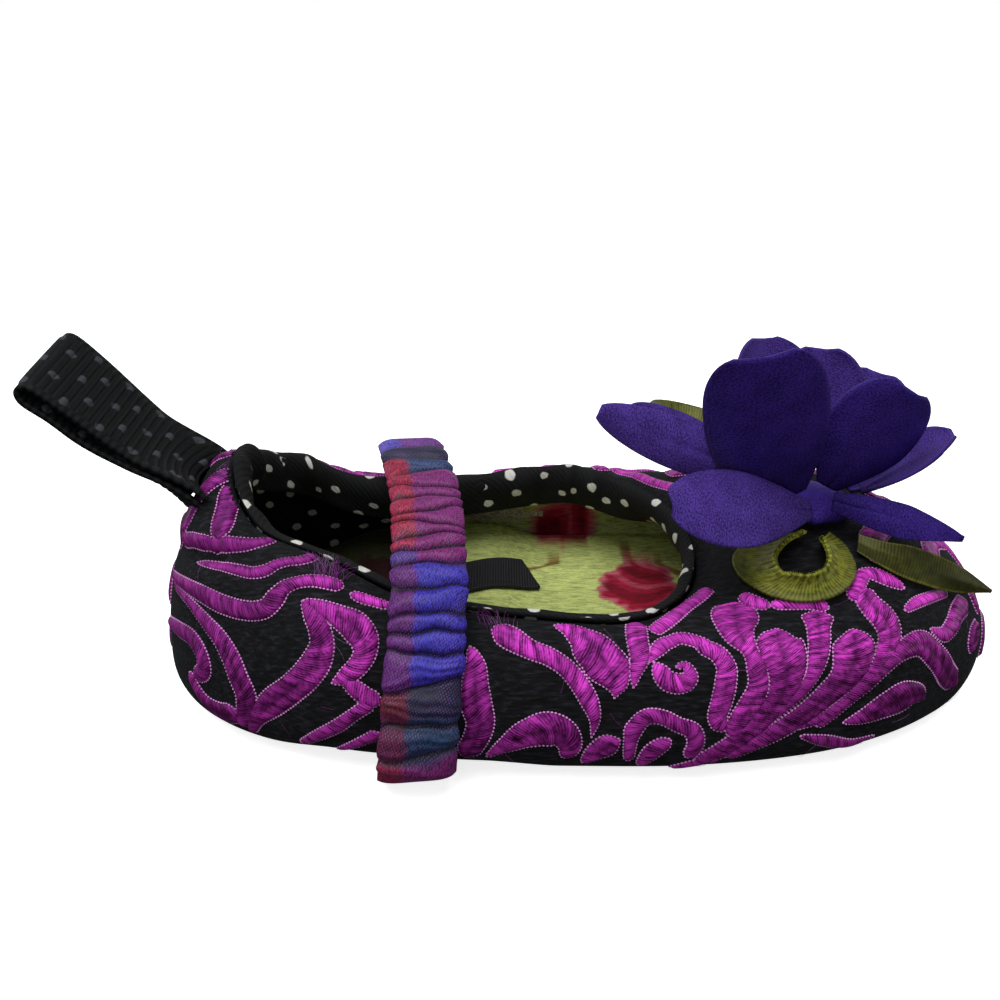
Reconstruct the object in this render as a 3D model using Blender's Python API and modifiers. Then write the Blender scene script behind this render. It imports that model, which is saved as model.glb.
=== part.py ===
"""Soft crib shoe: a turned fabric shoe with a padded sole, a puffed brocade upper, a dotted collar facing,
a gathered elastic band, a ribbon pull loop and a satin flower on ribbon loops.

The toe points along +X, the far side of the shoe is +Y and up is +Z. The origin lies on the floor under the
forefoot. Sizes are in millimetres, and "along" is measured from the back of the heel.
"""

import math
from collections import namedtuple

import bmesh
import bpy
import numpy as np

MM = 0.001
ORIGIN_ALONG = 66.0

# The last: the widest line of the shoe, seen from above
LENGTH = 113.6
HEEL_ALONG = 1.2
BALL_ALONG = 62.0
BALL_HALF_WIDTH = 28.2
HEEL_POWER = 2.85
TOE_POWER = 2.22
SPINE_BACK = 30.0
SPINE_FRONT = 86.0
STATIONS = 64

# The bottom: the arch makes room for the elastic band, and the toe springs a little
ARCH_LIFT = 2.4
ARCH_FOOT_BACK = 17.0
ARCH_BACK = 27.0
ARCH_FRONT = 44.0
ARCH_FOOT_FRONT = 54.0
SPRING_FROM = 92.0
SPRING_LIFT = 1.2

# The upper's wall, its widest height, and how far its lower edge is tucked in
WALL = 2.0
BULGE_UP = 6.2
BULGE_LIFT_SHARE = 0.2
TOE_FROM_DEG = 95.0
TOE_FULL_DEG = 140.0
CROWN_FULL_DEG = 178.0

Tuck = namedtuple("Tuck", "inward up lift_share")
TUCK = [Tuck(5.2, 0.5, 1.0), Tuck(3.3, 0.7, 0.8), Tuck(1.3, 1.8, 0.35), Tuck(0.3, 3.6, 0.15)]

# The wall above the widest line, as shares of the way in and up to the collar edge
Rise = namedtuple("Rise", "side_in side_up toe_in toe_up")
RISE = [
    Rise(0.00, 0.000, 0.000, 0.00),
    Rise(0.05, 0.200, 0.012, 0.30),
    Rise(0.13, 0.400, 0.050, 0.60),
    Rise(0.24, 0.580, 0.115, 0.88),
    Rise(0.38, 0.740, 0.210, 1.14),
    Rise(0.55, 0.870, 0.340, 1.42),
    Rise(0.73, 0.955, 0.520, 1.58),
    Rise(0.88, 0.990, 0.760, 1.42),
    Rise(1.00, 1.000, 1.000, 1.00),
]

# The collar edge, a row for each station round the shoe from the heel by the near side
Collar = namedtuple("Collar", "around_deg along across up")
COLLAR = [
    Collar(0, 11.0, 0.0, 30.0),
    Collar(30, 13.7, -6.8, 25.8),
    Collar(45, 17.0, -9.6, 24.2),
    Collar(60, 25.0, -13.4, 23.0),
    Collar(75, 37.5, -18.2, 19.5),
    Collar(90, 56.0, -21.0, 18.7),
    Collar(105, 63.5, -19.6, 18.0),
    Collar(120, 68.0, -16.5, 17.8),
    Collar(150, 72.2, -9.0, 17.8),
    Collar(180, 73.0, 0.0, 17.8),
    Collar(210, 71.2, 8.4, 17.9),
    Collar(240, 66.4, 15.0, 18.3),
    Collar(255, 61.8, 18.4, 18.6),
    Collar(270, 55.0, 20.2, 18.8),
    Collar(285, 37.5, 15.2, 18.9),
    Collar(300, 26.0, 13.8, 20.1),
    Collar(315, 18.2, 12.6, 23.8),
    Collar(330, 13.4, 7.2, 27.4),
]

# The facing's section at the collar edge: over the edge, then down inside, or forward under the vamp at the throat
FACING_THICK = 0.8
THROAT_FROM_DEG = 112.0
THROAT_FULL_DEG = 158.0
Fold = namedtuple("Fold", "side_in side_up throat_in throat_up")
FACING = [
    Fold(0.4, 0.7, 0.4, 0.8),
    Fold(1.3, 0.6, 1.2, 0.55),
    Fold(1.85, -0.3, 1.5, -0.5),
    Fold(1.9, -1.6, 1.0, -1.9),
    Fold(1.4, -3.4, -0.9, -3.0),
    Fold(0.9, -5.2, -3.6, -3.0),
]

# Sole and insole sections, from the middle of the underside round the edge to the middle of the top
Edge = namedtuple("Edge", "inward up")
OUTSOLE = [
    Edge(14.0, 0.0),
    Edge(6.8, 0.0),
    Edge(5.8, 0.5),
    Edge(5.6, 1.4),
    Edge(5.8, 2.3),
    Edge(6.8, 2.7),
    Edge(14.0, 2.7),
]
INSOLE = [
    Edge(14.0, 3.3),
    Edge(6.8, 3.3),
    Edge(5.4, 3.4),
    Edge(4.5, 3.7),
    Edge(4.3, 4.3),
    Edge(4.7, 4.9),
    Edge(6.0, 5.3),
    Edge(14.0, 5.3),
]
TAB_THICK = 0.6
TAB_UP = 5.95
TAB_MIDDLE = (44.8, 6.4)
TAB_LONG = 14.0
TAB_WIDE = 7.2
TAB_TURN_DEG = 22.0
TAB_STEPS = 6

# The elastic band: a ring that leans back a little towards the far side
BAND_WIDTH = 9.0
BAND_SLANT = -0.11
BAND_FOLDS = 48
Turn = namedtuple("Turn", "along across up")
BAND = [
    Turn(34.6, 0.0, 1.15),
    Turn(35.4, -12.0, 1.15),
    Turn(35.9, -20.0, 1.15),
    Turn(36.2, -27.4, 1.45),
    Turn(36.7, -30.2, 3.8),
    Turn(37.2, -30.5, 8.8),
    Turn(37.6, -28.9, 13.0),
    Turn(38.0, -26.8, 17.0),
    Turn(38.25, -23.8, 20.6),
    Turn(38.25, -19.5, 23.6),
    Turn(37.8, -13.0, 25.6),
    Turn(36.95, -5.0, 26.9),
    Turn(35.3, 3.0, 27.4),
    Turn(33.9, 10.0, 26.7),
    Turn(33.0, 16.0, 24.4),
    Turn(32.7, 20.6, 21.0),
    Turn(32.5, 25.0, 17.0),
    Turn(32.4, 28.2, 12.6),
    Turn(32.4, 29.6, 8.6),
    Turn(32.6, 29.2, 4.2),
    Turn(32.9, 26.4, 1.5),
    Turn(33.3, 19.5, 1.15),
    Turn(33.8, 12.0, 1.15),
]
Skin = namedtuple("Skin", "sideways out fold_out")
BAND_SECTION = [
    Skin(-0.5, -0.3, 0.0),
    Skin(-0.43, -0.95, 0.0),
    Skin(0.43, -0.95, 0.0),
    Skin(0.5, -0.3, 0.0),
    Skin(0.5, 0.3, 0.0),
    Skin(0.4, 0.7, 0.5),
    Skin(0.0, 0.85, 0.7),
    Skin(-0.4, 0.7, 0.5),
    Skin(-0.5, 0.3, 0.0),
]

# Ribbon pieces, a row for each turn of the ribbon
RIBBON_STEPS = 4
Lap = namedtuple("Lap", "along across up wide_along wide_across wide_up")
PULL_WIDTH = 12.7
PULL_THICK = 0.8
PULL_LOOP = [
    Lap(4.5, 0.0, 24.8, 0.0, 1.0, 0.00),
    Lap(1.4, 0.0, 28.8, 0.0, 1.0, 0.03),
    Lap(-3.5, 0.0, 34.2, 0.04, 1.0, 0.10),
    Lap(-8.0, 0.0, 39.2, 0.08, 1.0, 0.17),
    Lap(-11.0, 0.0, 42.0, 0.11, 1.0, 0.21),
    Lap(-11.2, 0.0, 43.7, 0.11, 1.0, 0.21),
    Lap(-9.6, 0.0, 43.8, 0.11, 1.0, 0.21),
    Lap(-5.9, 0.0, 40.3, 0.08, 1.0, 0.17),
    Lap(-1.4, 0.0, 35.4, 0.04, 1.0, 0.10),
    Lap(2.9, 0.0, 31.0, 0.0, 1.0, 0.03),
    Lap(6.3, 0.0, 27.5, 0.0, 1.0, 0.00),
]
LIME_WIDTH = 6.4
LIME_THICK = 0.8
LOOP_NEAR = [
    Lap(83.95, -7.6, 23.75, -0.59, 0.70, -0.39),
    Lap(80.95, -8.5, 22.75, -0.60, 0.69, -0.42),
    Lap(78.6, -11.2, 21.85, -0.66, 0.62, -0.42),
    Lap(78.95, -15.6, 21.75, -0.80, 0.35, -0.48),
    Lap(82.4, -18.3, 21.95, -0.32, -0.30, -0.90),
    Lap(86.1, -17.8, 22.45, 0.50, -0.40, -0.76),
    Lap(88.3, -15.3, 23.25, 0.87, -0.20, -0.45),
    Lap(88.5, -11.8, 24.05, 0.93, 0.05, -0.36),
    Lap(87.7, -9.9, 24.45, 0.60, 0.75, -0.20),
]
LOOP_TAPER = [0.72, 0.95, 1.0, 0.78, 0.55, 0.56, 0.6, 0.55, 0.5]
LOOP_FAR = [
    Lap(84.6, 5.4, 26.0, -0.45, 0.30, 0.75),
    Lap(79.0, 7.6, 27.0, -0.50, 0.25, 0.80),
    Lap(73.0, 11.4, 28.6, -0.55, 0.30, 0.78),
    Lap(70.0, 15.4, 29.0, -0.30, 0.50, 0.80),
    Lap(73.0, 18.4, 27.6, 0.10, 0.60, 0.80),
    Lap(79.0, 16.6, 26.4, 0.25, 0.50, 0.83),
    Lap(84.0, 11.6, 26.0, 0.25, 0.35, 0.90),
    Lap(87.0, 6.6, 26.4, 0.15, 0.25, 0.95),
]
LEAF_WIDTH = 4.2
LEAF = [
    Lap(91.4, -11.2, 24.0, 0.20, 0.60, 0.78),
    Lap(94.0, -12.6, 23.3, 0.25, 0.62, 0.74),
    Lap(98.0, -13.2, 22.1, 0.35, 0.60, 0.72),
    Lap(103.8, -12.8, 19.7, 0.40, 0.55, 0.73),
    Lap(110.2, -10.4, 16.3, 0.40, 0.50, 0.76),
]
LEAF_TAPER = [0.5, 0.7, 1.0, 0.8, 0.08]

# The flower: a sewn knot with the petals standing round it
CORE_ALONG = 87.6
CORE_ACROSS = -3.2
CORE_UP = 23.75
CORE_RADIUS = 5.4
CORE_HEIGHT = 3.6
CORE_SEGMENTS = 16
CORE_RINGS = 6
PETAL_THICK = 0.7
PETAL_WIDEST = 0.56
PETAL_TIP_REACH = 0.46
PETAL_LONG_STEPS = 7
PETAL_WIDE_STEPS = 6
Petal = namedtuple("Petal", "name along across up lean_deg rise_deg face_deg face_up length width bend_deg cup tip root")
PETALS = [
    Petal("petal_front", 81.4, -6.4, 27.6, -128, 68, -98, 0.2, 22.4, 14.6, 12, 2.0, 2.8, 0.6),
    Petal("petal_front_right", 88.9, -4.8, 28.6, -10, 59, -80, 0.0, 15.6, 13.6, 12, 1.6, 2.6, 0.26),
    Petal("petal_right", 94.0, -3.2, 27.2, -8, 38, -16, -0.8, 13.0, 11.0, 16, 1.4, 2.0, 0.26),
    Petal("petal_right_low", 94.0, 1.0, 25.2, 6, 25, -4, -1.05, 13.2, 12.0, 14, 1.6, 2.0, 0.26),
    Petal("petal_toe", 88.4, -8.6, 28.6, -12, -12, -60, 0.5, 16.6, 4.4, 8, 0.6, 1.2, 0.5),
    Petal("petal_near", 84.9, -11.0, 28.6, -168, 10, -90, 1.2, 18.6, 10.2, 6, 1.2, 2.0, 0.2),
    Petal("petal_left", 82.4, -4.1, 28.8, 180, 23, -90, 0.5, 25.6, 6.4, -4, 0.8, 1.8, 0.26),
    Petal("petal_left_far", 82.2, -0.4, 28.2, 176, 24, -90, 0.9, 21.0, 6.6, -4, 0.8, 2.0, 0.26),
    Petal("petal_back_left", 85.8, 5.4, 28.4, 108, 58, 112, 0.0, 16.4, 13.0, 6, 1.8, 2.2, 0.26),
    Petal("petal_back", 88.8, 2.8, 28.2, 80, 66, 86, 0.0, 15.6, 12.5, 6, 1.6, 2.2, 0.26),
    Petal("petal_back_right", 92.6, 3.4, 28.2, 40, 54, 48, 0.0, 13.4, 12.0, 8, 1.6, 2.2, 0.26),
]

# Colours as the eye meets them, with how rough each surface is
Finish = namedtuple("Finish", "name red green blue rough")
BROCADE = Finish("scroll brocade", 0.090, 0.010, 0.080, 0.60)
SUEDE = Finish("black suede", 0.020, 0.020, 0.022, 0.90)
FLANNEL = Finish("printed flannel", 0.360, 0.400, 0.110, 0.95)
WOVEN = Finish("woven tab", 0.012, 0.012, 0.014, 0.80)
COTTON = Finish("dotted cotton", 0.030, 0.030, 0.034, 0.85)
TAFFETA = Finish("gathered taffeta", 0.130, 0.050, 0.330, 0.45)
GROSGRAIN = Finish("black grosgrain", 0.015, 0.016, 0.018, 0.60)
LIME = Finish("lime ribbon", 0.360, 0.370, 0.060, 0.50)
SATIN = Finish("indigo satin", 0.035, 0.018, 0.150, 0.40)


def clear_scene():
    for old in list(bpy.data.objects):
        bpy.data.objects.remove(old, do_unlink=True)


def finish(spec):
    """The material of one finish, made once."""
    found = bpy.data.materials.get(spec.name)
    if found:
        return found
    made = bpy.data.materials.new(spec.name)
    made.use_nodes = True
    shader = made.node_tree.nodes["Principled BSDF"]
    shader.inputs["Base Color"].default_value = (spec.red, spec.green, spec.blue, 1.0)
    shader.inputs["Roughness"].default_value = spec.rough
    return made


def add_piece(name, points, faces, spec, smooth=True):
    """One named object from points in millimetres."""
    mesh = bpy.data.meshes.new(name)
    placed = (np.asarray(points, float) - [ORIGIN_ALONG, 0.0, 0.0]) * MM
    mesh.from_pydata(placed.tolist(), [], faces)
    mesh.polygons.foreach_set("use_smooth", [smooth] * len(mesh.polygons))
    mesh.materials.append(finish(spec))
    piece = bpy.data.objects.new(name, mesh)
    bpy.data.collections["crib_shoe"].objects.link(piece)
    return piece


def thicken(piece, thick, side):
    """Turns an open surface into a shell: side -1 grows it inwards, 0 grows it both ways."""
    shell = piece.modifiers.new("wall", "SOLIDIFY")
    shell.thickness = thick * MM
    shell.offset = side
    shell.use_even_offset = True
    shell.use_quality_normals = True
    return piece


def face_outwards(piece):
    work = bmesh.new()
    work.from_mesh(piece.data)
    bmesh.ops.recalc_face_normals(work, faces=work.faces)
    work.to_mesh(piece.data)
    work.free()
    return piece


def sheet_faces(rows, columns, ring):
    """Quads over a grid of points stored row by row. A ring joins the last row to the first."""
    faces = []
    for row in range(rows if ring else rows - 1):
        after = (row + 1) % rows
        for column in range(columns - 1):
            here = row * columns + column
            there = after * columns + column
            faces.append((here, there, there + 1, here + 1))
    return faces


def closed_spline(knots, values, at, period):
    """A smooth closed curve through values at knots, read at any place on it."""
    knot = np.concatenate([knots[-3:] - period, knots, knots[:3] + period])
    value = np.concatenate([values[-3:], values, values[:3]])
    slope = np.gradient(value, knot, axis=0)
    return hermite(knot, value, slope, np.mod(at, period))


def open_spline(values, steps):
    """A smooth curve through values, with the same number of steps in each span."""
    knot = np.arange(len(values), dtype=float)
    slope = np.gradient(values, knot, axis=0)
    return hermite(knot, values, slope, np.linspace(0, len(values) - 1, (len(values) - 1) * steps + 1))


def hermite(knot, value, slope, at):
    span = np.clip(np.searchsorted(knot, at, side="right") - 1, 0, len(knot) - 2)
    width = (knot[span + 1] - knot[span])[:, None]
    t = (at - knot[span])[:, None] / width
    start = (2 * t**3 - 3 * t**2 + 1) * value[span] + (t**3 - 2 * t**2 + t) * width * slope[span]
    end = (3 * t**2 - 2 * t**3) * value[span + 1] + (t**3 - t**2) * width * slope[span + 1]
    return start + end


def smoothstep(low, high, at):
    t = np.clip((at - low) / (high - low), 0.0, 1.0)
    return t * t * (3 - 2 * t)


def unit(vectors):
    return vectors / np.linalg.norm(vectors, axis=-1, keepdims=True)


def outline(around):
    """The widest line of the shoe from above: 0 is the back of the heel, a quarter turn the near side."""
    cosine = np.cos(around)
    sine = np.sin(around)
    toe_half = cosine < 0
    power = 2 / np.where(toe_half, TOE_POWER, HEEL_POWER)
    reach = np.where(toe_half, LENGTH - BALL_ALONG, BALL_ALONG - HEEL_ALONG)
    along = BALL_ALONG - reach * np.sign(cosine) * np.abs(cosine) ** power
    across = -BALL_HALF_WIDTH * np.sign(sine) * np.abs(sine) ** power
    return np.stack([along, across], axis=-1)


def even_stations(count):
    """Angles that space the stations evenly round the outline, alike on both sides."""
    fine = np.linspace(0, math.pi, 721)
    steps = np.linalg.norm(np.diff(outline(fine), axis=0), axis=1)
    travelled = np.concatenate([[0.0], np.cumsum(steps)])
    half = np.interp(np.linspace(0, travelled[-1], count // 2 + 1), travelled, fine)
    return np.concatenate([half, 2 * math.pi - half[-2:0:-1]])


def lift(along):
    """How far the underside is off the floor: the arch under the band and the toe's spring."""
    rise = smoothstep(ARCH_FOOT_BACK, ARCH_BACK, along)
    fall = 1 - smoothstep(ARCH_FRONT, ARCH_FOOT_FRONT, along)
    spring = np.clip((along - SPRING_FROM) / (LENGTH - SPRING_FROM), 0, None) ** 2
    return ARCH_LIFT * rise * fall + SPRING_LIFT * spring


def inward(around):
    """The way in from the outline to the middle of the shoe."""
    edge = outline(around)
    spine = np.stack([np.clip(edge[:, 0], SPINE_BACK, SPINE_FRONT), np.zeros(len(edge))], axis=-1)
    return unit(spine - edge)


def turned_from_heel(around):
    """The angle from the back of the heel, the same on both sides."""
    return math.pi - np.abs(np.mod(around, 2 * math.pi) - math.pi)


def collar_edge(around):
    knots = np.radians([row.around_deg for row in COLLAR])
    values = np.array([(row.along, row.across, row.up) for row in COLLAR])
    return closed_spline(knots, values, around, 2 * math.pi)


def upper_rows(around):
    """The upper's outside as rows of points, from its tucked-in lower edge to the collar edge."""
    edge = outline(around)
    way_in = inward(around)
    rows = []
    for tuck in TUCK:
        plan = edge + way_in * tuck.inward
        rows.append(np.column_stack([plan, tuck.up + tuck.lift_share * lift(plan[:, 0])]))
    bulge = np.column_stack([edge, BULGE_UP + BULGE_LIFT_SHARE * lift(edge[:, 0])])
    reach = collar_edge(around) - bulge
    from_heel = turned_from_heel(around)
    toe = smoothstep(math.radians(TOE_FROM_DEG), math.radians(TOE_FULL_DEG), from_heel)
    crown = smoothstep(math.radians(TOE_FROM_DEG), math.radians(CROWN_FULL_DEG), from_heel)
    for rise in RISE:
        toe_up = min(rise.toe_up, 1.0) + max(rise.toe_up - 1.0, 0.0) * crown
        share_in = rise.side_in + (rise.toe_in - rise.side_in) * toe
        share_up = rise.side_up + (toe_up - rise.side_up) * toe
        rows.append(bulge + reach * np.column_stack([share_in, share_in, share_up]))
    return np.array(rows)


def make_upper(around):
    points = upper_rows(around).transpose(1, 0, 2)
    faces = sheet_faces(points.shape[0], points.shape[1], True)
    upper = add_piece("upper", points.reshape(-1, 3), faces, BROCADE)
    return thicken(upper, WALL, -1)


def make_facing(around):
    """The band that rolls over the collar edge, set off from the edge's own curve."""
    edge = collar_edge(around)
    onward = unit(np.roll(edge, -1, axis=0)[:, :2] - np.roll(edge, 1, axis=0)[:, :2])
    way_in = np.column_stack([-onward[:, 1], onward[:, 0]])
    throat = smoothstep(math.radians(THROAT_FROM_DEG), math.radians(THROAT_FULL_DEG), turned_from_heel(around))
    columns = []
    for fold in FACING:
        fold_in = fold.side_in + (fold.throat_in - fold.side_in) * throat
        fold_up = fold.side_up + (fold.throat_up - fold.side_up) * throat
        columns.append(np.column_stack([edge[:, :2] + way_in * fold_in[:, None], edge[:, 2] + fold_up]))
    points = np.array(columns).transpose(1, 0, 2)
    faces = sheet_faces(points.shape[0], points.shape[1], True)
    facing = add_piece("collar_facing", points.reshape(-1, 3), faces, COTTON)
    return thicken(facing, FACING_THICK, 0)


def make_pad(name, section, around, spec):
    """A closed pad with the shoe's own outline: rings round the edge and strips across the middle."""
    edge = outline(around)
    way_in = inward(around)
    count = len(around)
    points = []
    for row in section:
        plan = edge + way_in * row.inward
        points.append(np.column_stack([plan, row.up + lift(plan[:, 0])]))
    faces = []
    for ring in range(len(section) - 1):
        for here in range(count):
            there = (here + 1) % count
            faces.append((ring * count + here, ring * count + there, (ring + 1) * count + there, (ring + 1) * count + here))
    for ring in (0, len(section) - 1):
        for near in range(count // 2):
            corners = [near, near + 1, (count - near - 1) % count, (count - near) % count]
            faces.append(tuple(ring * count + corner for corner in dict.fromkeys(corners)))
    return face_outwards(add_piece(name, np.concatenate(points), faces, spec))


def make_tab():
    turn = math.radians(TAB_TURN_DEG)
    points = []
    for long in np.linspace(-TAB_LONG / 2, TAB_LONG / 2, TAB_STEPS):
        for wide in (-TAB_WIDE / 2, TAB_WIDE / 2):
            along = TAB_MIDDLE[0] + long * math.cos(turn) - wide * math.sin(turn)
            points.append((along, TAB_MIDDLE[1] + long * math.sin(turn) + wide * math.cos(turn), TAB_UP + lift(along)))
    tab = add_piece("insole_tab", points, sheet_faces(TAB_STEPS, 2, False), WOVEN)
    return thicken(tab, TAB_THICK, 0)


def make_band():
    """The gathered ring: each fold is a ridge and a valley across the band."""
    turns = np.array(BAND)
    chords = np.linalg.norm(np.roll(turns, -1, axis=0) - turns, axis=1)
    knots = np.concatenate([[0.0], np.cumsum(chords[:-1])])
    count = BAND_FOLDS * 2
    at = np.linspace(0, chords.sum(), count, endpoint=False)
    path = closed_spline(knots, turns, at, chords.sum())
    onward = unit(np.roll(path, -1, axis=0) - np.roll(path, 1, axis=0))
    sideways = unit(np.array([1.0, -BAND_SLANT, 0.0]))
    points = []
    for place in range(count):
        out = unit(np.cross(onward[place], sideways))
        ridge = place % 2 if path[place][2] > BULGE_UP else 0
        for skin in BAND_SECTION:
            spread = sideways * skin.sideways * BAND_WIDTH
            points.append(path[place] + spread - out * (skin.out + skin.fold_out * ridge))
    size = len(BAND_SECTION)
    faces = []
    for place in range(count):
        after = (place + 1) % count
        for skin in range(size):
            beside = (skin + 1) % size
            faces.append((place * size + skin, after * size + skin, after * size + beside, place * size + beside))
    return face_outwards(add_piece("elastic_band", points, faces, TAFFETA))


def make_ribbon(name, laps, width, thick, spec, taper=None):
    """A ribbon that follows its laps, with its width turned as each lap says."""
    middle = open_spline(np.array([lap[:3] for lap in laps]), RIBBON_STEPS)
    wide = unit(open_spline(np.array([lap[3:] for lap in laps]), RIBBON_STEPS))
    share = np.ones(len(middle))
    if taper:
        share = open_spline(np.array(taper)[:, None], RIBBON_STEPS)[:, 0]
    half = wide * share[:, None] * width / 2
    points = np.stack([middle - half, middle, middle + half], axis=1)
    ribbon = add_piece(name, points.reshape(-1, 3), sheet_faces(len(middle), 3, False), spec)
    return thicken(ribbon, thick, 0)


def make_core():
    points = [(CORE_ALONG, CORE_ACROSS, CORE_UP)]
    faces = []
    for ring in range(1, CORE_RINGS):
        fall = math.pi * ring / CORE_RINGS
        for segment in range(CORE_SEGMENTS):
            turn = 2 * math.pi * segment / CORE_SEGMENTS
            reach = CORE_RADIUS * math.sin(fall)
            up = CORE_UP + CORE_HEIGHT / 2 * (1 - math.cos(fall))
            points.append((CORE_ALONG + reach * math.cos(turn), CORE_ACROSS + reach * math.sin(turn), up))
    points.append((CORE_ALONG, CORE_ACROSS, CORE_UP + CORE_HEIGHT))
    last = len(points) - 1
    for segment in range(CORE_SEGMENTS):
        beside = (segment + 1) % CORE_SEGMENTS
        faces.append((0, 1 + beside, 1 + segment))
        faces.append((last, last - CORE_SEGMENTS + segment, last - CORE_SEGMENTS + beside))
        for ring in range(CORE_RINGS - 2):
            low = 1 + ring * CORE_SEGMENTS
            high = low + CORE_SEGMENTS
            faces.append((low + segment, low + beside, high + beside, high + segment))
    return face_outwards(add_piece("flower_core", points, faces, SATIN))


def direction(turn_deg, rise_deg):
    turn = math.radians(turn_deg)
    rise = math.radians(rise_deg)
    return np.array([math.cos(turn) * math.cos(rise), math.sin(turn) * math.cos(rise), math.sin(rise)])


def blade_share(reach, tip, root):
    """A petal's width along its length, as a share of its widest."""
    if reach < PETAL_WIDEST:
        open_share = math.sin(math.pi / 2 * reach / PETAL_WIDEST)
        return root + (1 - root) * open_share
    past = (reach - PETAL_WIDEST) / PETAL_TIP_REACH
    return (1 - past**tip) ** (1 / tip)


def petal_points(petal):
    """A petal from its root to its tip, bent along its length and cupped across it away from its outer face."""
    axis = direction(petal.lean_deg, petal.rise_deg)
    look = direction(petal.face_deg, 0) + np.array([0.0, 0.0, petal.face_up])
    outer = unit(look - axis * look.dot(axis))
    side = np.cross(outer, axis)
    root = np.array([petal.along, petal.across, petal.up])
    step = petal.length / (PETAL_LONG_STEPS - 1)
    middle = root
    points = []
    for row in range(PETAL_LONG_STEPS):
        reach = row / (PETAL_LONG_STEPS - 1)
        reach_at_tip = min(reach, PETAL_WIDEST + 0.95 * PETAL_TIP_REACH)
        half = petal.width / 2 * blade_share(reach_at_tip, petal.tip, petal.root)
        for column in range(PETAL_WIDE_STEPS):
            spread = 2 * column / (PETAL_WIDE_STEPS - 1) - 1
            points.append(middle + side * spread * half - outer * petal.cup * spread**2 * half * 2 / petal.width)
        bend = math.radians(petal.bend_deg) * (reach - 0.3)
        middle = middle + (axis * math.cos(bend) - outer * math.sin(bend)) * step
    return np.array(points)


def make_petal(petal):
    faces = sheet_faces(PETAL_LONG_STEPS, PETAL_WIDE_STEPS, False)
    piece = add_piece(petal.name, petal_points(petal), faces, SATIN)
    return thicken(piece, PETAL_THICK, 0)


def main():
    clear_scene()
    shoe = bpy.data.collections.new("crib_shoe")
    bpy.context.scene.collection.children.link(shoe)
    around = even_stations(STATIONS)
    make_pad("outsole", OUTSOLE, around, SUEDE)
    make_pad("insole", INSOLE, around, FLANNEL)
    make_tab()
    make_upper(around)
    make_facing(around)
    make_band()
    make_ribbon("pull_loop", PULL_LOOP, PULL_WIDTH, PULL_THICK, GROSGRAIN)
    make_core()
    for petal in PETALS:
        make_petal(petal)
    make_ribbon("ribbon_loop_near", LOOP_NEAR, LIME_WIDTH, LIME_THICK, LIME, LOOP_TAPER)
    make_ribbon("ribbon_loop_far", LOOP_FAR, LIME_WIDTH, LIME_THICK, LIME)
    make_ribbon("ribbon_leaf", LEAF, LEAF_WIDTH, LIME_THICK, LIME, LEAF_TAPER)


main()
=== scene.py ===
"""Looks of a soft crib shoe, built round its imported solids, in brocade, cotton, taffeta, ribbon and satin.

Sizes in the tables are in millimetres. "Along" runs from the back of the heel, "across" to the far side and
"up" from the floor. On the upper, "around" runs round the widest line from the heel by the near side, and
"climb" up the wall.
"""

import math
from collections import namedtuple

import bmesh
import bpy
import numpy as np
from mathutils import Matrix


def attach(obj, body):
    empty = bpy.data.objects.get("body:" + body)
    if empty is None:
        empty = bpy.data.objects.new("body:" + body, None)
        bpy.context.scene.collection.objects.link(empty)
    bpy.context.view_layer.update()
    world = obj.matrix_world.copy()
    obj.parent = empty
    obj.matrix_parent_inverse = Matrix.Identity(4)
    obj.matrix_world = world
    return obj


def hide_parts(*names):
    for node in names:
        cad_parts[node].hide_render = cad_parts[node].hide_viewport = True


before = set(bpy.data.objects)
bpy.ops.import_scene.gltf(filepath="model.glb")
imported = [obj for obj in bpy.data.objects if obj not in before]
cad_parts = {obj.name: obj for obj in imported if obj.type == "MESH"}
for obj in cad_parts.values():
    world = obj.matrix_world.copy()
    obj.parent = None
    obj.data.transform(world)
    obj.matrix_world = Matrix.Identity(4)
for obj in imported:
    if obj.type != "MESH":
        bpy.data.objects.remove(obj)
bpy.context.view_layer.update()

bl_info = {
    "name": "Crib shoe",
    "version": (1, 0, 0),
    "blender": (4, 5, 0),
    "location": "View3D > Sidebar > Crib shoe",
    "description": "Dresses the packed crib shoe in brocade, cotton, taffeta, ribbon and satin",
    "category": "Object",
}

MM = 0.001
BODY = "root"
ORIGIN_ALONG = 66.0

# The last and the wall of the upper, as in the solids
LENGTH = 113.6
HEEL_ALONG = 1.2
BALL_ALONG = 62.0
BALL_HALF_WIDTH = 28.2
HEEL_POWER = 2.85
TOE_POWER = 2.22
SPINE_BACK = 30.0
SPINE_FRONT = 86.0
ARCH_LIFT = 2.4
ARCH_FOOT_BACK = 17.0
ARCH_BACK = 27.0
ARCH_FRONT = 44.0
ARCH_FOOT_FRONT = 54.0
SPRING_FROM = 92.0
SPRING_LIFT = 1.2
WALL = 1.9
BULGE_UP = 6.2
BULGE_LIFT_SHARE = 0.2
TOE_FROM_DEG = 95.0
TOE_FULL_DEG = 140.0
CROWN_FULL_DEG = 178.0
Tuck = namedtuple("Tuck", "inward up lift_share")
TUCK = [Tuck(5.2, 0.5, 1.0), Tuck(3.3, 0.7, 0.8), Tuck(1.3, 1.8, 0.35), Tuck(0.3, 3.6, 0.15)]
Rise = namedtuple("Rise", "side_in side_up toe_in toe_up")
RISE = [
    Rise(0.00, 0.000, 0.000, 0.00),
    Rise(0.05, 0.200, 0.012, 0.30),
    Rise(0.13, 0.400, 0.050, 0.60),
    Rise(0.24, 0.580, 0.115, 0.88),
    Rise(0.38, 0.740, 0.210, 1.14),
    Rise(0.55, 0.870, 0.340, 1.42),
    Rise(0.73, 0.955, 0.520, 1.58),
    Rise(0.88, 0.990, 0.760, 1.42),
    Rise(1.00, 1.000, 1.000, 1.00),
]
Collar = namedtuple("Collar", "around_deg along across up")
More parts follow.
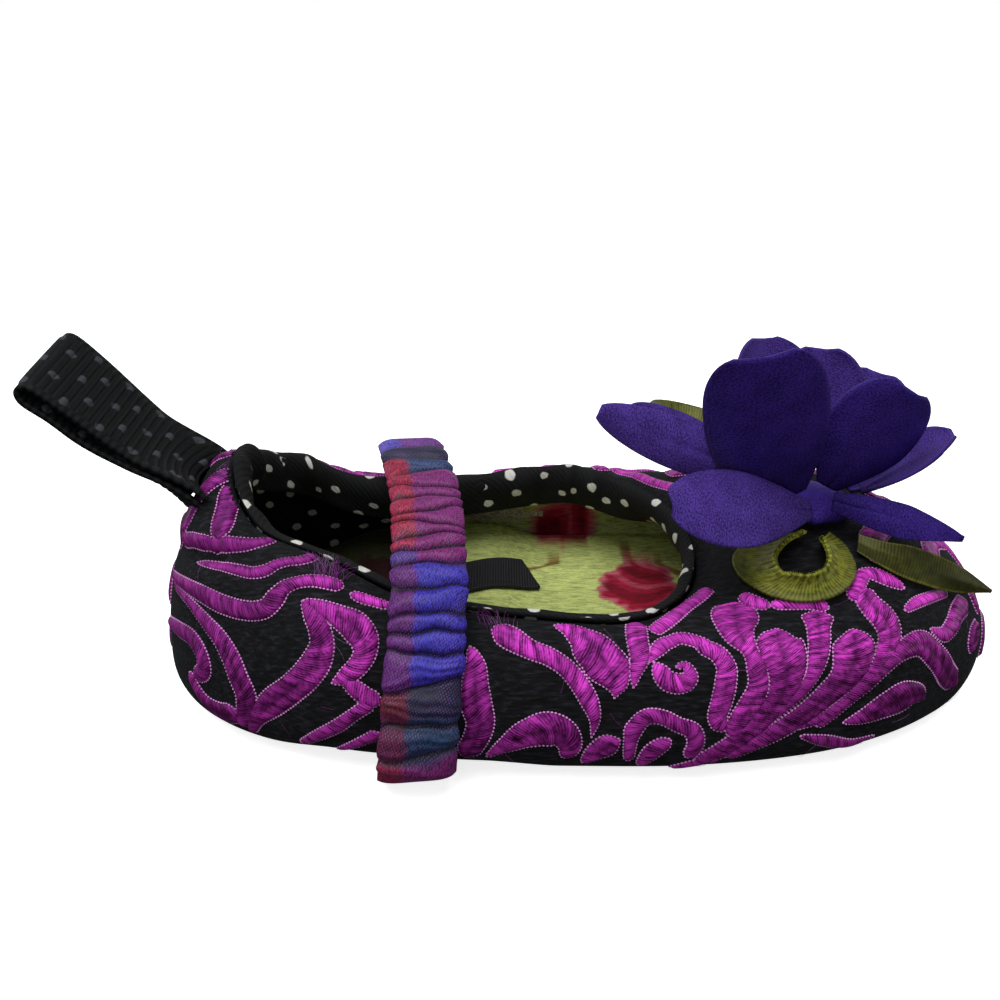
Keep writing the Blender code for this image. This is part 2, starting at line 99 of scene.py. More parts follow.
COLLAR = [
    Collar(0, 11.0, 0.0, 30.0),
    Collar(30, 13.7, -6.8, 25.8),
    Collar(45, 17.0, -9.6, 24.2),
    Collar(60, 25.0, -13.4, 23.0),
    Collar(75, 37.5, -18.2, 19.5),
    Collar(90, 56.0, -21.0, 18.7),
    Collar(105, 63.5, -19.6, 18.0),
    Collar(120, 68.0, -16.5, 17.8),
    Collar(150, 72.2, -9.0, 17.8),
    Collar(180, 73.0, 0.0, 17.8),
    Collar(210, 71.2, 8.4, 17.9),
    Collar(240, 66.4, 15.0, 18.3),
    Collar(255, 61.8, 18.4, 18.6),
    Collar(270, 55.0, 20.2, 18.8),
    Collar(285, 37.5, 15.2, 18.9),
    Collar(300, 26.0, 13.8, 20.1),
    Collar(315, 18.2, 12.6, 23.8),
    Collar(330, 13.4, 7.2, 27.4),
]
ROWS = len(TUCK) + len(RISE)
UPPER_STATIONS = 420
CLIMB_STEPS = 72
LINING_STEP = 3
CREAM_AROUND = (52.5, 68.5)
# Where the heel's dotted lining ends along the shoe, and near it the painted shade on the insole's heel
HEEL_LINING_AND_SHADE_TO = 38.0

# Creases of the soft upper: a trough from one place on the wall to another
Crease = namedtuple("Crease", "around climb to_around to_climb half depth")
CREASES = [
    Crease(6.0, 23.6, 27.0, 28.2, 1.5, 0.80),
    Crease(17.5, 29.5, 20.5, 26.5, 1.2, 0.60),
    Crease(46.5, 7.0, 47.5, 22.5, 2.0, 0.45),
    Crease(59.5, 8.0, 59.0, 22.0, 2.0, 0.45),
    Crease(98.0, 35.0, 90.0, 27.0, 1.6, 0.40),
    Crease(116.0, 8.5, 124.0, 12.0, 2.2, 0.40),
    Crease(31.0, 8.0, 36.0, 15.5, 2.4, 0.35),
    Crease(-8.0, 24.0, -26.0, 28.0, 1.6, 0.70),
    Crease(-46.0, 7.0, -46.5, 21.0, 2.2, 0.50),
    Crease(-60.0, 8.0, -59.0, 22.0, 2.2, 0.45),
    Crease(-96.0, 33.0, -89.0, 25.0, 1.8, 0.40),
    Crease(-112.0, 9.0, -121.0, 13.0, 2.4, 0.40),
]
RIDGE_SHARE = 0.35

# Scrolls of the brocade: places on the wall with the width of the satin stitch at each
Scroll = namedtuple("Scroll", "name places")
SCROLLS = [
    Scroll("heel band", [
        (8.3, 27.2, 2.1), (9.2, 26.1, 1.8), (13.8, 27.1, 1.5), (18, 28.1, 1.6), (22.4, 29.3, 1.6),
        (26.4, 30.6, 1.4), (29.3, 32.2, 0.9), (30.6, 33.2, 0.4),
    ]),
    Scroll("heel hook", [
        (16, 25, 0.2), (19.1, 25.8, 0.8), (22.6, 26.4, 1), (25.8, 26.7, 1.2), (28.5, 26.9, 1.3),
        (30.5, 27.5, 1.3), (31.9, 28.5, 1.2), (33.6, 29.1, 1.1), (35.3, 29.5, 1.2), (36.6, 30.4, 1.3),
        (36.9, 31.4, 1.3), (35.2, 31.8, 1), (33.2, 32.2, 0.3),
    ]),
    Scroll("long wave", [
        (10.4, 20.9, 0.9), (15.4, 21.8, 1.4), (20.1, 22.1, 1.8), (24.5, 22, 1.9), (27.6, 22.1, 1.9),
        (29.8, 22.4, 1.9), (31.5, 23, 2), (32.7, 24.3, 2.1), (33.7, 25.5, 1.6), (35.3, 26.2, 1.3),
        (37.4, 26.6, 1.3), (39.8, 26.5, 1.4), (41.7, 26.2, 1.2),
    ]),
    Scroll("long wave end", [(42.8, 25.5, 0.8), (44.3, 25.1, 1.1), (46.1, 24.8, 1), (47.9, 24.5, 0.9)]),
    Scroll("heel slant", [
        (11.9, 20.4, 0.7), (18, 20.1, 1), (21.8, 19, 1.5), (24.5, 17.8, 1.9), (26.6, 15.9, 2.3),
        (27.9, 13.8, 2.5), (28.9, 11.8, 2.5), (28.8, 9.6, 2.3), (27.6, 6.6, 1.5),
    ]),
    Scroll("heel loop", [
        (11.2, 14.6, 1.1), (15.9, 15.8, 1.6), (19.6, 15.9, 1.8), (21.5, 14.5, 1.9), (21.9, 13, 2.1),
        (19.9, 11, 1.5),
    ]),
    Scroll("heel foot", [
        (18.8, 11.1, 1.3), (20.2, 9.3, 1.5), (22.1, 7.8, 2.2), (24.9, 7.6, 2.6), (27.6, 8.7, 2.3),
    ]),
    Scroll("broad wave", [
        (28.8, 5.8, 0.9), (30.2, 8.7, 1.9), (32.7, 11.3, 2.9), (35.5, 13.5, 2.9), (37.6, 15.5, 3),
        (38.9, 17.4, 2.9), (39.4, 19.3, 2.4), (38.9, 21.1, 2.1), (37.8, 22.6, 1.6), (36.5, 24, 0.3),
    ]),
    Scroll("broad leaf", [
        (36.7, 24.1, 0.4), (39.2, 23.4, 1.4), (41.5, 22.5, 2.2), (43.6, 21.5, 2.9), (44.7, 20.2, 2.8),
        (44.8, 18.5, 2.2), (43.9, 16.9, 2), (42.3, 15.5, 1.6), (40.7, 14.6, 0.2),
    ]),
    Scroll("leaf tail", [(42, 15.2, 0.8), (43.5, 14.3, 1.6), (45, 13.2, 1.8), (46.5, 12.5, 1.8)]),
    Scroll("low branch", [
        (36, 5.6, 0.8), (38.5, 7.3, 1.3), (41, 9, 1.4), (43.4, 11, 1.3), (45.6, 12.6, 1.5),
    ]),
    Scroll("low leaf", [(40.6, 4.6, 0.6), (43.1, 6.5, 1), (46.2, 8.5, 1.4)]),
    Scroll("band leaf", [
        (57.5, 20, 0.6), (58, 17.9, 1.9), (57.9, 15.6, 2.5), (58, 13.2, 2.9), (58.4, 11, 2.7),
        (57.6, 8.3, 2.5), (56.3, 6.1, 2.4),
    ]),
    Scroll("side wave", [
        (60.2, 22.4, 1.9), (62, 21.5, 2.3), (64.4, 20.5, 1.8), (66.8, 20, 1.7), (69.1, 18.7, 1.7),
        (70.7, 16.7, 1.8), (71.6, 14.7, 1.7), (72, 12.7, 1.1), (71.5, 10.2, 0.1),
    ]),
    Scroll("side leaf", [
        (68.4, 24, 0.3), (71.4, 23.3, 1.7), (73.9, 22.3, 2.9), (74.9, 20.5, 3.3), (75.5, 18.5, 2.9),
        (75.6, 16.8, 1.7), (74.9, 15.3, 0.1),
    ]),
    Scroll("side strip", [
        (88.5, 28.6, 2), (82.8, 23.3, 2.1), (80.8, 20.7, 1.9), (79, 18.7, 1.2), (77.8, 16.7, 0.2),
    ]),
    Scroll("throat bar", [(115, 45.5, 1.7), (107, 39.8, 1.6), (97.7, 32.6, 1.6), (88.5, 26.3, 1.3)]),
    Scroll("spiral", [
        (81.7, 20.1, 0.3), (84.3, 21.9, 1.3), (88.5, 24.1, 1.3), (91.8, 25.2, 1.3), (92.9, 24.2, 1.3),
        (92.4, 22.1, 1.3),
    ]),
    Scroll("spiral bud", [
        (82.4, 20.1, 0.4), (82.4, 19, 1.5), (82.8, 17.7, 1.9), (84.3, 17.3, 1.9), (86.3, 18.5, 1.5),
        (86.7, 19.8, 0.8), (85.2, 19.6, 0.4),
    ]),
    Scroll("low fan", [
        (59.1, 6, 0.4), (61.6, 8.4, 1.9), (64.1, 10.3, 3.1), (66.5, 11.1, 3.6), (68.2, 10.5, 3.1),
        (68.9, 8.9, 2.3), (68.2, 7.1, 1.3),
    ]),
    Scroll("low bud", [(70.5, 6.1, 0.6), (72, 8, 2.1), (73.6, 9.2, 2.3), (74.8, 9.9, 1.1)]),
    Scroll("low arch", [
        (76, 6.7, 1.1), (76.1, 9.6, 1.5), (76.9, 11.6, 1.7), (78.6, 13, 1.6), (80.3, 12.9, 1.5),
        (82, 11.9, 1.5), (83.7, 10.9, 1.7), (83.8, 9.1, 1.7), (82.9, 7.1, 1.5),
    ]),
    Scroll("arch bud", [(77.3, 5.7, 0.9), (78.7, 8.2, 1.9), (80.8, 9.9, 1.3)]),
    Scroll("low runner", [(81.2, 4.6, 0.8), (83.6, 5.7, 1.1), (87, 6.8, 1.1)]),
    Scroll("spiral fall", [
        (91.7, 23.9, 1.4), (92.8, 22.7, 1.7), (92.1, 20, 1.9), (90.2, 17.3, 2.1), (88.3, 14.6, 2.1),
        (87.1, 12.5, 1.9), (87.3, 10.7, 1.4),
    ]),
    Scroll("fan flag", [
        (108, 35.4, 3.6), (103.6, 30.9, 4.5), (99.2, 25.8, 3.1), (97, 22.1, 1.6), (95.3, 19.2, 1.9),
        (93.7, 16.4, 2.1), (91.4, 13.8, 2.3), (89.2, 11.5, 2.1), (87.8, 10.1, 1.4),
    ]),
    Scroll("fan leaf", [
        (103.8, 26.1, 1.4), (101.2, 23.1, 4.4), (99.1, 19.8, 4.4), (97.5, 17.2, 3.5), (95.4, 14.6, 2.8),
        (92.7, 12.1, 2.3), (89.7, 9.8, 2.2), (86.6, 7.6, 2.1), (84, 6.1, 1.7),
    ]),
    Scroll("fan stem", [
        (110.2, 27.9, 4), (108.1, 25.6, 2.6), (105.1, 22.2, 2.2), (102.9, 19.7, 2), (100.9, 17.5, 1.5),
        (98.8, 15.5, 1.2), (96.2, 13.6, 1), (93.8, 11.9, 0.7),
    ]),
    Scroll("fan leaf wide", [
        (109.6, 23, 1.7), (108, 20.7, 4.2), (106.1, 18.2, 4.2), (103.8, 16, 3.1), (101.1, 14.2, 2.6),
        (98.1, 12.3, 2.3), (94.7, 10.4, 2.1), (91.1, 8.7, 1.9), (87.7, 6.8, 1.4),
    ]),
    Scroll("fan plume", [
        (117.4, 29.1, 2.2), (115.2, 25.9, 2.6), (114.1, 23, 2.9), (112.4, 20.4, 2.6), (110.2, 18.3, 2.1),
        (108.1, 16.5, 1.5), (105.2, 14.4, 1.3), (102.1, 12.1, 1.2), (98.9, 10.1, 1),
    ]),
    Scroll("fan wave", [
        (96.4, 10.2, 0.5), (100.1, 11.3, 1.2), (103.6, 13.2, 1.4), (106.7, 15, 1.7), (109.6, 16.7, 1.8),
        (112.6, 18, 2.1), (115.6, 18, 2.6), (117, 15.6, 2.7), (118.5, 12.5, 2.7), (121.6, 9, 2.5),
    ]),
    Scroll("toe leaf", [
        (102.4, 9.9, 0.3), (105.3, 10.3, 1.9), (108.3, 11, 3.1), (111.2, 11.4, 3.6), (113.4, 11, 2.2),
        (114.8, 9.8, 0.5),
    ]),
    Scroll("toe oval", [(128.2, 15.6, 0.8), (127.3, 14.7, 2.3), (125.8, 13.4, 2.6), (124.9, 12.1, 1.3)]),
    Scroll("toe hook", [
        (118.3, 19.2, 0.3), (119.8, 17.7, 1.5), (122.2, 17.9, 2), (124.7, 18.7, 2.1), (128.6, 18.7, 2.3),
    ]),
    Scroll("toe runner", [(96.8, 8.9, 0.4), (100.1, 7.6, 1.4), (103.9, 6.1, 1.2), (107.6, 6.2, 0.4)]),
    Scroll("vamp bud", [(111.4, 38, 1.2), (109.3, 34.5, 1.7), (108.5, 31.8, 1)]),
    Scroll("vamp tendril", [(121.6, 31.4, 1.5), (118.1, 29.9, 1.4), (114.8, 28.2, 1.4)]),
    Scroll("heel bar", [
        (11.6, 36.2, 1.8), (12.6, 35.0, 2.2), (15.4, 33.0, 2.2), (17.8, 30.8, 2.2), (19.2, 29.0, 1.9),
    ]),
    Scroll("heel back bar", [
        (7.5, 36.4, 1.6), (7.4, 33.4, 1.9), (7.7, 30.6, 2.1), (8.7, 28.2, 2.2), (10.2, 26.9, 1.9),
    ]),
    Scroll("flag bar", [(108.9, 32.1, 1), (110.3, 31.2, 1.3), (111.5, 29.8, 1.3), (111.7, 28, 1.2)]),
    Scroll("vamp drop", [(121.1, 31.9, 0.7), (121.7, 30.4, 1.5), (121.7, 28.3, 1.6), (121.7, 26.1, 0.7)]),
    Scroll("vamp low leaf", [(117.7, 23.2, 0.6), (120.2, 23.4, 1.1), (123.2, 22.9, 1.1), (126.6, 21.8, 0.9)]),
]
# More scrolls where the picture hides the cloth, kept to the same ornament
HIDDEN_SCROLLS = [
    Scroll("heel curl", [
        (0.5, 8, 1.2), (3.5, 11.5, 1.8), (6.5, 11.5, 1.8), (7.5, 8.8, 1.4), (5.6, 7.2, 0.8),
    ]),
    Scroll("heel side leaf", [(0.8, 16, 1), (3.6, 18.6, 2.2), (6.4, 18.4, 1.8), (8.6, 15.6, 0.6)]),
    Scroll("heel bud", [(2.6, 24.6, 0.5), (4.6, 26.4, 1.6), (6.6, 25.2, 1.4), (6.8, 22.8, 0.5)]),
    Scroll("toe low leaf", [(139.5, 7.4, 0.6), (136.3, 10.4, 2.0), (132.3, 11.6, 2.4), (129.3, 8.8, 1.0)]),
    Scroll("toe middle leaf", [
        (139.7, 13.6, 0.6), (136.5, 17.2, 2.2), (132.7, 17.8, 2.4), (130.1, 15.4, 0.8),
    ]),
    Scroll("toe high leaf", [(139.7, 21.6, 0.6), (136.5, 25.4, 2.2), (132.7, 25.8, 2.6), (129.5, 23.2, 0.8)]),
    Scroll("vamp curl", [(139.9, 28, 0.6), (135.5, 32.6, 2.2), (128.5, 34, 2.4), (124.5, 31.6, 0.8)]),
]
MIDDLE_SCROLLS = [
    Scroll("heel stem", [(0, 6, 1.5), (0.6, 11, 2.2), (-0.4, 16, 2.4), (0.3, 21, 1.8), (0, 25, 0.4)]),
    Scroll("toe stem", [
        (141.2, 5, 1.4), (141.7, 10, 2.2), (140.7, 15, 2.2), (141.4, 20, 1.4), (141.2, 25, 0.5),
    ]),
]
SCROLL_STEP = 0.25
SCROLL_FULL = 1.24
SCROLL_SECTION = np.array([-1.0, -0.86, -0.6, -0.28, 0.0, 0.28, 0.6, 0.86, 1.0])
SCROLL_SINK = 0.12
# Painted shade on the scrolls: how much darker their colour is at the heel, low at the toe and low on the wall
HEEL_SHADE = 0.58
TOE_SHADE = 0.62
LOW_SHADE = 0.5
VEIN_FROM_WIDTH = 2.3
SPLIT_PITCH = 1.5
LOWEST_CLIMB = 2.2

# The facing's section at the collar edge, as in the solids
FACING_THICK = 0.8
THROAT_FROM_DEG = 112.0
THROAT_FULL_DEG = 158.0
Fold = namedtuple("Fold", "side_in side_up throat_in throat_up")
FACING = [
    Fold(0.4, 0.7, 0.4, 0.8),
    Fold(1.3, 0.6, 1.2, 0.55),
    Fold(1.85, -0.3, 1.5, -0.5),
    Fold(1.9, -1.6, 1.0, -1.9),
    Fold(1.4, -3.4, -0.9, -3.0),
    Fold(0.9, -5.2, -3.6, -3.0),
]
FACING_STATIONS = 480
FACING_COLUMNS = 27

# Sole and insole sections, from the underside round the edge to the top, as in the solids
Edge = namedtuple("Edge", "inward up")
OUTSOLE = [
    Edge(14.0, 0.0), Edge(6.8, 0.0), Edge(5.8, 0.5), Edge(5.6, 1.4),
    Edge(5.8, 2.3), Edge(6.8, 2.7), Edge(14.0, 2.7),
]
INSOLE = [
    Edge(14.0, 3.3),
    Edge(6.8, 3.3),
    Edge(5.4, 3.4),
    Edge(4.5, 3.7),
    Edge(4.3, 4.3),
    Edge(4.7, 4.9),
    Edge(6.0, 5.3),
    Edge(14.0, 5.3),
]
PAD_STATIONS = 840
TAB_THICK = 0.5
TAB_UP = 5.95
TAB_MIDDLE = (44.8, 6.4)
TAB_LONG = 14.0
TAB_WIDE = 7.2
TAB_TURN_DEG = 22.0

# The print of the insole: roses with leaves and stems
Rose = namedtuple("Rose", "along across half turn")
ROSES = [
    Rose(67.9, 7.0, 6.3, 3.1),
    Rose(57.3, 25.2, 5.2, 2.6),
    Rose(80.0, -9.0, 6.0, 3.6),
    Rose(28.0, 6.0, 5.6, 1.4),
    Rose(90.0, 8.0, 5.6, 4.4),
]
Stem = namedtuple("Stem", "along across to_along to_across half")
STEMS = [
    Stem(50.0, 10.8, 55.4, 14.4, 0.5),
    Stem(65.0, 20.5, 74.5, 11.0, 0.6),
    Stem(50.0, -11.0, 56.0, -14.0, 0.5),
    Stem(33.0, 10.0, 38.0, 15.0, 0.5),
    Stem(84.0, 2.0, 77.0, 3.6, 0.45),
]

# The elastic band's ring and the dyes of its plaid round it, left and right of the plaid's line
BAND_WIDTH = 9.0
BAND_SLANT = -0.11
Turn = namedtuple("Turn", "along across up")
BAND = [
    Turn(34.6, 0.0, 1.15),
    Turn(35.4, -12.0, 1.15),
    Turn(35.9, -20.0, 1.15),
    Turn(36.2, -27.4, 1.45),
    Turn(36.7, -30.2, 3.8),
    Turn(37.2, -30.5, 8.8),
    Turn(37.6, -28.9, 13.0),
    Turn(38.0, -26.8, 17.0),
    Turn(38.25, -23.8, 20.6),
    Turn(38.25, -19.5, 23.6),
    Turn(37.8, -13.0, 25.6),
    Turn(36.95, -5.0, 26.9),
    Turn(35.3, 3.0, 27.4),
    Turn(33.9, 10.0, 26.7),
    Turn(33.0, 16.0, 24.4),
    Turn(32.7, 20.6, 21.0),
    Turn(32.5, 25.0, 17.0),
    Turn(32.4, 28.2, 12.6),
    Turn(32.4, 29.6, 8.6),
    Turn(32.6, 29.2, 4.2),
    Turn(32.9, 26.4, 1.5),
    Turn(33.3, 19.5, 1.15),
    Turn(33.8, 12.0, 1.15),
]
BAND_VALLEYS = np.array([
    3.0, 9.0, 15.0, 21.0, 27.0, 31.6, 34.8, 38.5, 42.8, 46.7, 48.9, 51.0, 54.1, 57.3, 59.6, 62.0, 64.2, 66.6,
    69.5, 72.0, 75.5, 79.6, 84.0, 88.6, 92.4, 95.6, 99.0, 102.2, 105.0, 108.4, 111.6, 115.4, 119.0, 124.0,
    130.0, 137.0,
])
BAND_ROWS = 1320
BAND_COLUMNS = 40
BAND_IN = 0.95
BAND_LOW = 0.3
BAND_FLAT = 0.75
PLAID_LINE = -0.17
Dye = namedtuple("Dye", "at left right")
BAND_DYES = [
    Dye(0.0, "#8A2A6A", "#7A2A70"),
    Dye(18.0, "#8A2450", "#7A2A6A"),
    Dye(33.8, "#9A2048", "#8A2A7A"),
    Dye(34.6, "#6A1E42", "#173C62"),
    Dye(39.2, "#6A1E42", "#173C62"),
    Dye(40.0, "#6A1622", "#171B3C"),
    Dye(42.4, "#6A1622", "#171B3C"),
    Dye(43.2, "#6A247E", "#3A34BE"),
    Dye(56.8, "#6A247E", "#3A34BE"),
    Dye(57.8, "#583A94", "#8A1C78"),
    Dye(59.4, "#583A94", "#8A1C78"),
    Dye(60.2, "#B01E40", "#8A1C78"),
    Dye(74.8, "#B01E40", "#8A1C78"),
    Dye(75.8, "#B01E40", "#1C4676"),
    Dye(79.2, "#A01E40", "#1C4676"),
    Dye(80.2, "#1A2040", "#1A2040"),
    Dye(83.6, "#1A2040", "#1A2040"),
    Dye(84.6, "#6258CC", "#7A3C9C"),
    Dye(95.4, "#6258CC", "#7A3C9C"),
    Dye(96.4, "#6A1622", "#171B3C"),
    Dye(105.0, "#6A1622", "#171B3C"),
    Dye(106.0, "#6A247E", "#3A34BE"),
    Dye(118.6, "#6A247E", "#3A34BE"),
    Dye(120.0, "#B01E40", "#8A1C78"),
    Dye(143.0, "#8A2A6A", "#7A2A70"),
]

# Ribbons, a row for each turn of the ribbon
Lap = namedtuple("Lap", "along across up wide_along wide_across wide_up")
PULL_WIDTH = 12.7
PULL_THICK = 0.7
PULL_LOOP = [
    Lap(4.5, 0.0, 24.8, 0.0, 1.0, 0.00),
    Lap(1.4, 0.0, 28.8, 0.0, 1.0, 0.03),
    Lap(-3.5, 0.0, 34.2, 0.04, 1.0, 0.10),
    Lap(-8.0, 0.0, 39.2, 0.08, 1.0, 0.17),
    Lap(-11.0, 0.0, 42.0, 0.11, 1.0, 0.21),
    Lap(-11.2, 0.0, 43.7, 0.11, 1.0, 0.21),
    Lap(-9.6, 0.0, 43.8, 0.11, 1.0, 0.21),
    Lap(-5.9, 0.0, 40.3, 0.08, 1.0, 0.17),
    Lap(-1.4, 0.0, 35.4, 0.04, 1.0, 0.10),
    Lap(2.9, 0.0, 31.0, 0.0, 1.0, 0.03),
    Lap(6.3, 0.0, 27.5, 0.0, 1.0, 0.00),
]
RIB_PITCH = 1.05
ROOT_CURL = 2.8
ROOT_PINCH = 1.32
PULL_ROWS = 620
PULL_COLUMNS = 33
SELVEDGE = 0.9
LIME_WIDTH = 6.4
LIME_THICK = 0.55
LIME_ROWS = 420
LIME_COLUMNS = 25
LOOP_NEAR = [
    Lap(83.95, -7.6, 23.75, -0.59, 0.70, -0.39),
    Lap(80.95, -8.5, 22.75, -0.60, 0.69, -0.42),
    Lap(78.6, -11.2, 21.85, -0.66, 0.62, -0.42),
    Lap(78.95, -15.6, 21.75, -0.80, 0.35, -0.48),
    Lap(82.4, -18.3, 21.95, -0.32, -0.30, -0.90),
    Lap(86.1, -17.8, 22.45, 0.50, -0.40, -0.76),
    Lap(88.3, -15.3, 23.25, 0.87, -0.20, -0.45),
    Lap(88.5, -11.8, 24.05, 0.93, 0.05, -0.36),
    Lap(87.7, -9.9, 24.45, 0.60, 0.75, -0.20),
]
LOOP_TAPER = [0.72, 0.95, 1.0, 0.78, 0.55, 0.56, 0.6, 0.55, 0.5]
LOOP_FAR = [
    Lap(84.6, 5.4, 26.0, -0.45, 0.30, 0.75),
    Lap(79.0, 7.6, 27.0, -0.50, 0.25, 0.80),
    Lap(73.0, 11.4, 28.6, -0.55, 0.30, 0.78),
    Lap(70.0, 15.4, 29.0, -0.30, 0.50, 0.80),
    Lap(73.0, 18.4, 27.6, 0.10, 0.60, 0.80),
    Lap(79.0, 16.6, 26.4, 0.25, 0.50, 0.83),
    Lap(84.0, 11.6, 26.0, 0.25, 0.35, 0.90),
    Lap(87.0, 6.6, 26.4, 0.15, 0.25, 0.95),
]
LEAF_WIDTH = 4.2
LEAF_ROWS = 220
LEAF = [
    Lap(91.4, -11.2, 24.0, 0.20, 0.60, 0.78),
    Lap(94.0, -12.6, 23.3, 0.25, 0.62, 0.74),
    Lap(98.0, -13.2, 22.1, 0.35, 0.60, 0.72),
    Lap(103.8, -12.8, 19.7, 0.40, 0.55, 0.73),
    Lap(110.2, -10.4, 16.3, 0.40, 0.50, 0.76),
]
LEAF_TAPER = [0.5, 0.7, 1.0, 0.8, 0.08]

# Stray fibres on the upper, and tufts of frayed thread
FIBRES = 110
FIBRE_LENGTH = 3.4
FIBRE_POINTS = 8
FIBRE_SEED = 7
Tuft = namedtuple("Tuft", "around climb length fibres")
TUFTS = [
    Tuft(40.2, 27.6, 3.6, 150),
    Tuft(6.0, 35.0, 3.0, 90),
    Tuft(9.0, 35.0, 2.6, 50),
    Tuft(-6.0, 35.0, 3.0, 60),
    Tuft(-40.0, 25.0, 3.0, 40),
    Tuft(61.5, 22.4, 2.2, 40),
]

# The flower
CORE_ALONG = 87.6
CORE_ACROSS = -3.2
CORE_UP = 23.75
CORE_RADIUS = 5.4
CORE_HEIGHT = 3.6
CORE_STATIONS = 72
CORE_ROWS = 40
PETAL_THICK = 0.45
PETAL_WIDEST = 0.56
PETAL_TIP_REACH = 0.46
PETAL_ROWS = 44
PETAL_COLUMNS = 26
# A petal shows its duller back where its outer face turns away from the flower's middle;
# the back's darker colour is painted shade as well as the satin's duller side
Petal = namedtuple(
    "Petal", "name along across up lean_deg rise_deg face_deg face_up length width bend_deg cup tip root back"
)
PETALS = [
    Petal("petal_front", 81.4, -6.4, 27.6, -128, 68, -98, 0.2, 22.4, 14.6, 12, 2.0, 2.8, 0.6, True),
    Petal("petal_front_right", 88.9, -4.8, 28.6, -10, 59, -80, 0.0, 15.6, 13.6, 12, 1.6, 2.6, 0.26, True),
    Petal("petal_right", 94.0, -3.2, 27.2, -8, 38, -16, -0.8, 13.0, 11.0, 16, 1.4, 2.0, 0.26, True),
    Petal("petal_right_low", 94.0, 1.0, 25.2, 6, 25, -4, -1.05, 13.2, 12.0, 14, 1.6, 2.0, 0.26, True),
    Petal("petal_toe", 88.4, -8.6, 28.6, -12, -12, -60, 0.5, 16.6, 4.4, 8, 0.6, 1.2, 0.5, True),
    Petal("petal_near", 84.9, -11.0, 28.6, -168, 10, -90, 1.2, 18.6, 10.2, 6, 1.2, 2.0, 0.2, False),
    Petal("petal_left", 82.4, -4.1, 28.8, 180, 23, -90, 0.5, 25.6, 6.4, -4, 0.8, 1.8, 0.26, False),
    Petal("petal_left_far", 82.2, -0.4, 28.2, 176, 24, -90, 0.9, 21.0, 6.6, -4, 0.8, 2.0, 0.26, False),
    Petal("petal_back_left", 85.8, 5.4, 28.4, 108, 58, 112, 0.0, 16.4, 13.0, 6, 1.8, 2.2, 0.26, True),
    Petal("petal_back", 88.8, 2.8, 28.2, 80, 66, 86, 0.0, 15.6, 12.5, 6, 1.6, 2.2, 0.26, True),
    Petal("petal_back_right", 92.6, 3.4, 28.2, 40, 54, 48, 0.0, 13.4, 12.0, 8, 1.6, 2.2, 0.26, True),
]


# The picture
FLOOR_REACH = 30000.0
FLOOR_UP = -0.3
CAMERA_ALONG = 46.6
CAMERA_ACROSS = -112.2
CAMERA_UP = 83.8
CAMERA_TILT_DEG = 62.0
LENS = 33.7
SENSOR = 36.0

# The scale of a wave texture that repeats at each unit
WAVE_UNIT = 0.314


def rgb(code):
    """A linear colour from an sRGB hex value."""
    parts = [int(code[place:place + 2], 16) / 255 for place in (1, 3, 5)]
    linear = [part / 12.92 if part <= 0.04045 else ((part + 0.055) / 1.055) ** 2.4 for part in parts]
    return tuple(linear) + (1.0,)


def length_setting(name, description, metres):
    return bpy.props.FloatProperty(name=name, description=description, default=metres, unit="LENGTH")


def colour_setting(name, description, code):
    return bpy.props.FloatVectorProperty(
        name=name, description=description, subtype="COLOR", size=4, default=rgb(code), min=0.0, max=1.0
    )


class ShoeSizes(bpy.types.PropertyGroup):
    """Sizes of the trimmings that lie on the solids"""

    scroll_proud: length_setting("Scroll height", "How far the satin stitch stands off the cloth", 0.00048)
    couching_pitch: length_setting("Couching pitch", "Distance between stitches along a scroll's edge", 0.00046)
    couching_radius: length_setting("Couching radius", "Half the width of a couching stitch", 0.00015)
    gather_height: length_setting("Gather height", "Height of the folds of the elastic band's casing", 0.0012)
    rib_height: length_setting("Rib height", "Height of the pull loop's ribs", 0.00015)
    pleat_depth: length_setting("Pleat depth", "Depth of the pleats of the lime ribbon", 0.00014)
    fibre_radius: length_setting("Fibre radius", "Half the width of a stray fibre", 0.000019)
    crease_share: bpy.props.FloatProperty(
        name="Crease share", description="How deep the upper's creases are, against their own depths",
        default=1.0, subtype="FACTOR", min=0.0, max=2.0,
    )


class ShoeColours(bpy.types.PropertyGroup):
    """Colours of the cloths"""

    ground: colour_setting("Ground", "The upper's ground cloth", "#22232A")
    scroll: colour_setting("Scroll", "The satin stitch of the scrolls", "#F64CE4")
    couching: colour_setting("Couching", "The fine outline of the scrolls", "#EFA2EA")
    lime: colour_setting("Lime", "The ribbon under the flower", "#868A2E")
    # The petals' face and back colours are lit and shaded copies of one satin: the back is painted shade
    satin: colour_setting("Satin", "The petals", "#583F9E")
    shaded_satin_back: colour_setting("Satin back", "The dull backs of the petals", "#3F2A87")
    insole: colour_setting("Insole", "The insole's ground colour", "#CDD982")


# Shape functions of the solids


def hermite(knot, value, slope, at):
    span = np.clip(np.searchsorted(knot, at, side="right") - 1, 0, len(knot) - 2)
    width = (knot[span + 1] - knot[span])[:, None]
    t = (at - knot[span])[:, None] / width
    start = (2 * t**3 - 3 * t**2 + 1) * value[span] + (t**3 - 2 * t**2 + t) * width * slope[span]
    end = (3 * t**2 - 2 * t**3) * value[span + 1] + (t**3 - t**2) * width * slope[span + 1]
    return start + end


def closed_spline(knots, values, at, period):
    """A smooth closed curve through values at knots, read at any place on it."""
    knot = np.concatenate([knots[-3:] - period, knots, knots[:3] + period])
    value = np.concatenate([values[-3:], values, values[:3]])
    return hermite(knot, value, np.gradient(value, knot, axis=0), np.mod(at, period))


def open_spline(values, count):
    """A smooth curve through values, read at so many places."""
    knot = np.arange(len(values), dtype=float)
    return hermite(knot, values, np.gradient(values, knot, axis=0), np.linspace(0, len(values) - 1, count))


def smoothstep(low, high, at):
    t = np.clip((at - low) / (high - low), 0.0, 1.0)
    return t * t * (3 - 2 * t)


def unit(vectors):
    return vectors / np.maximum(np.linalg.norm(vectors, axis=-1, keepdims=True), 1e-12)


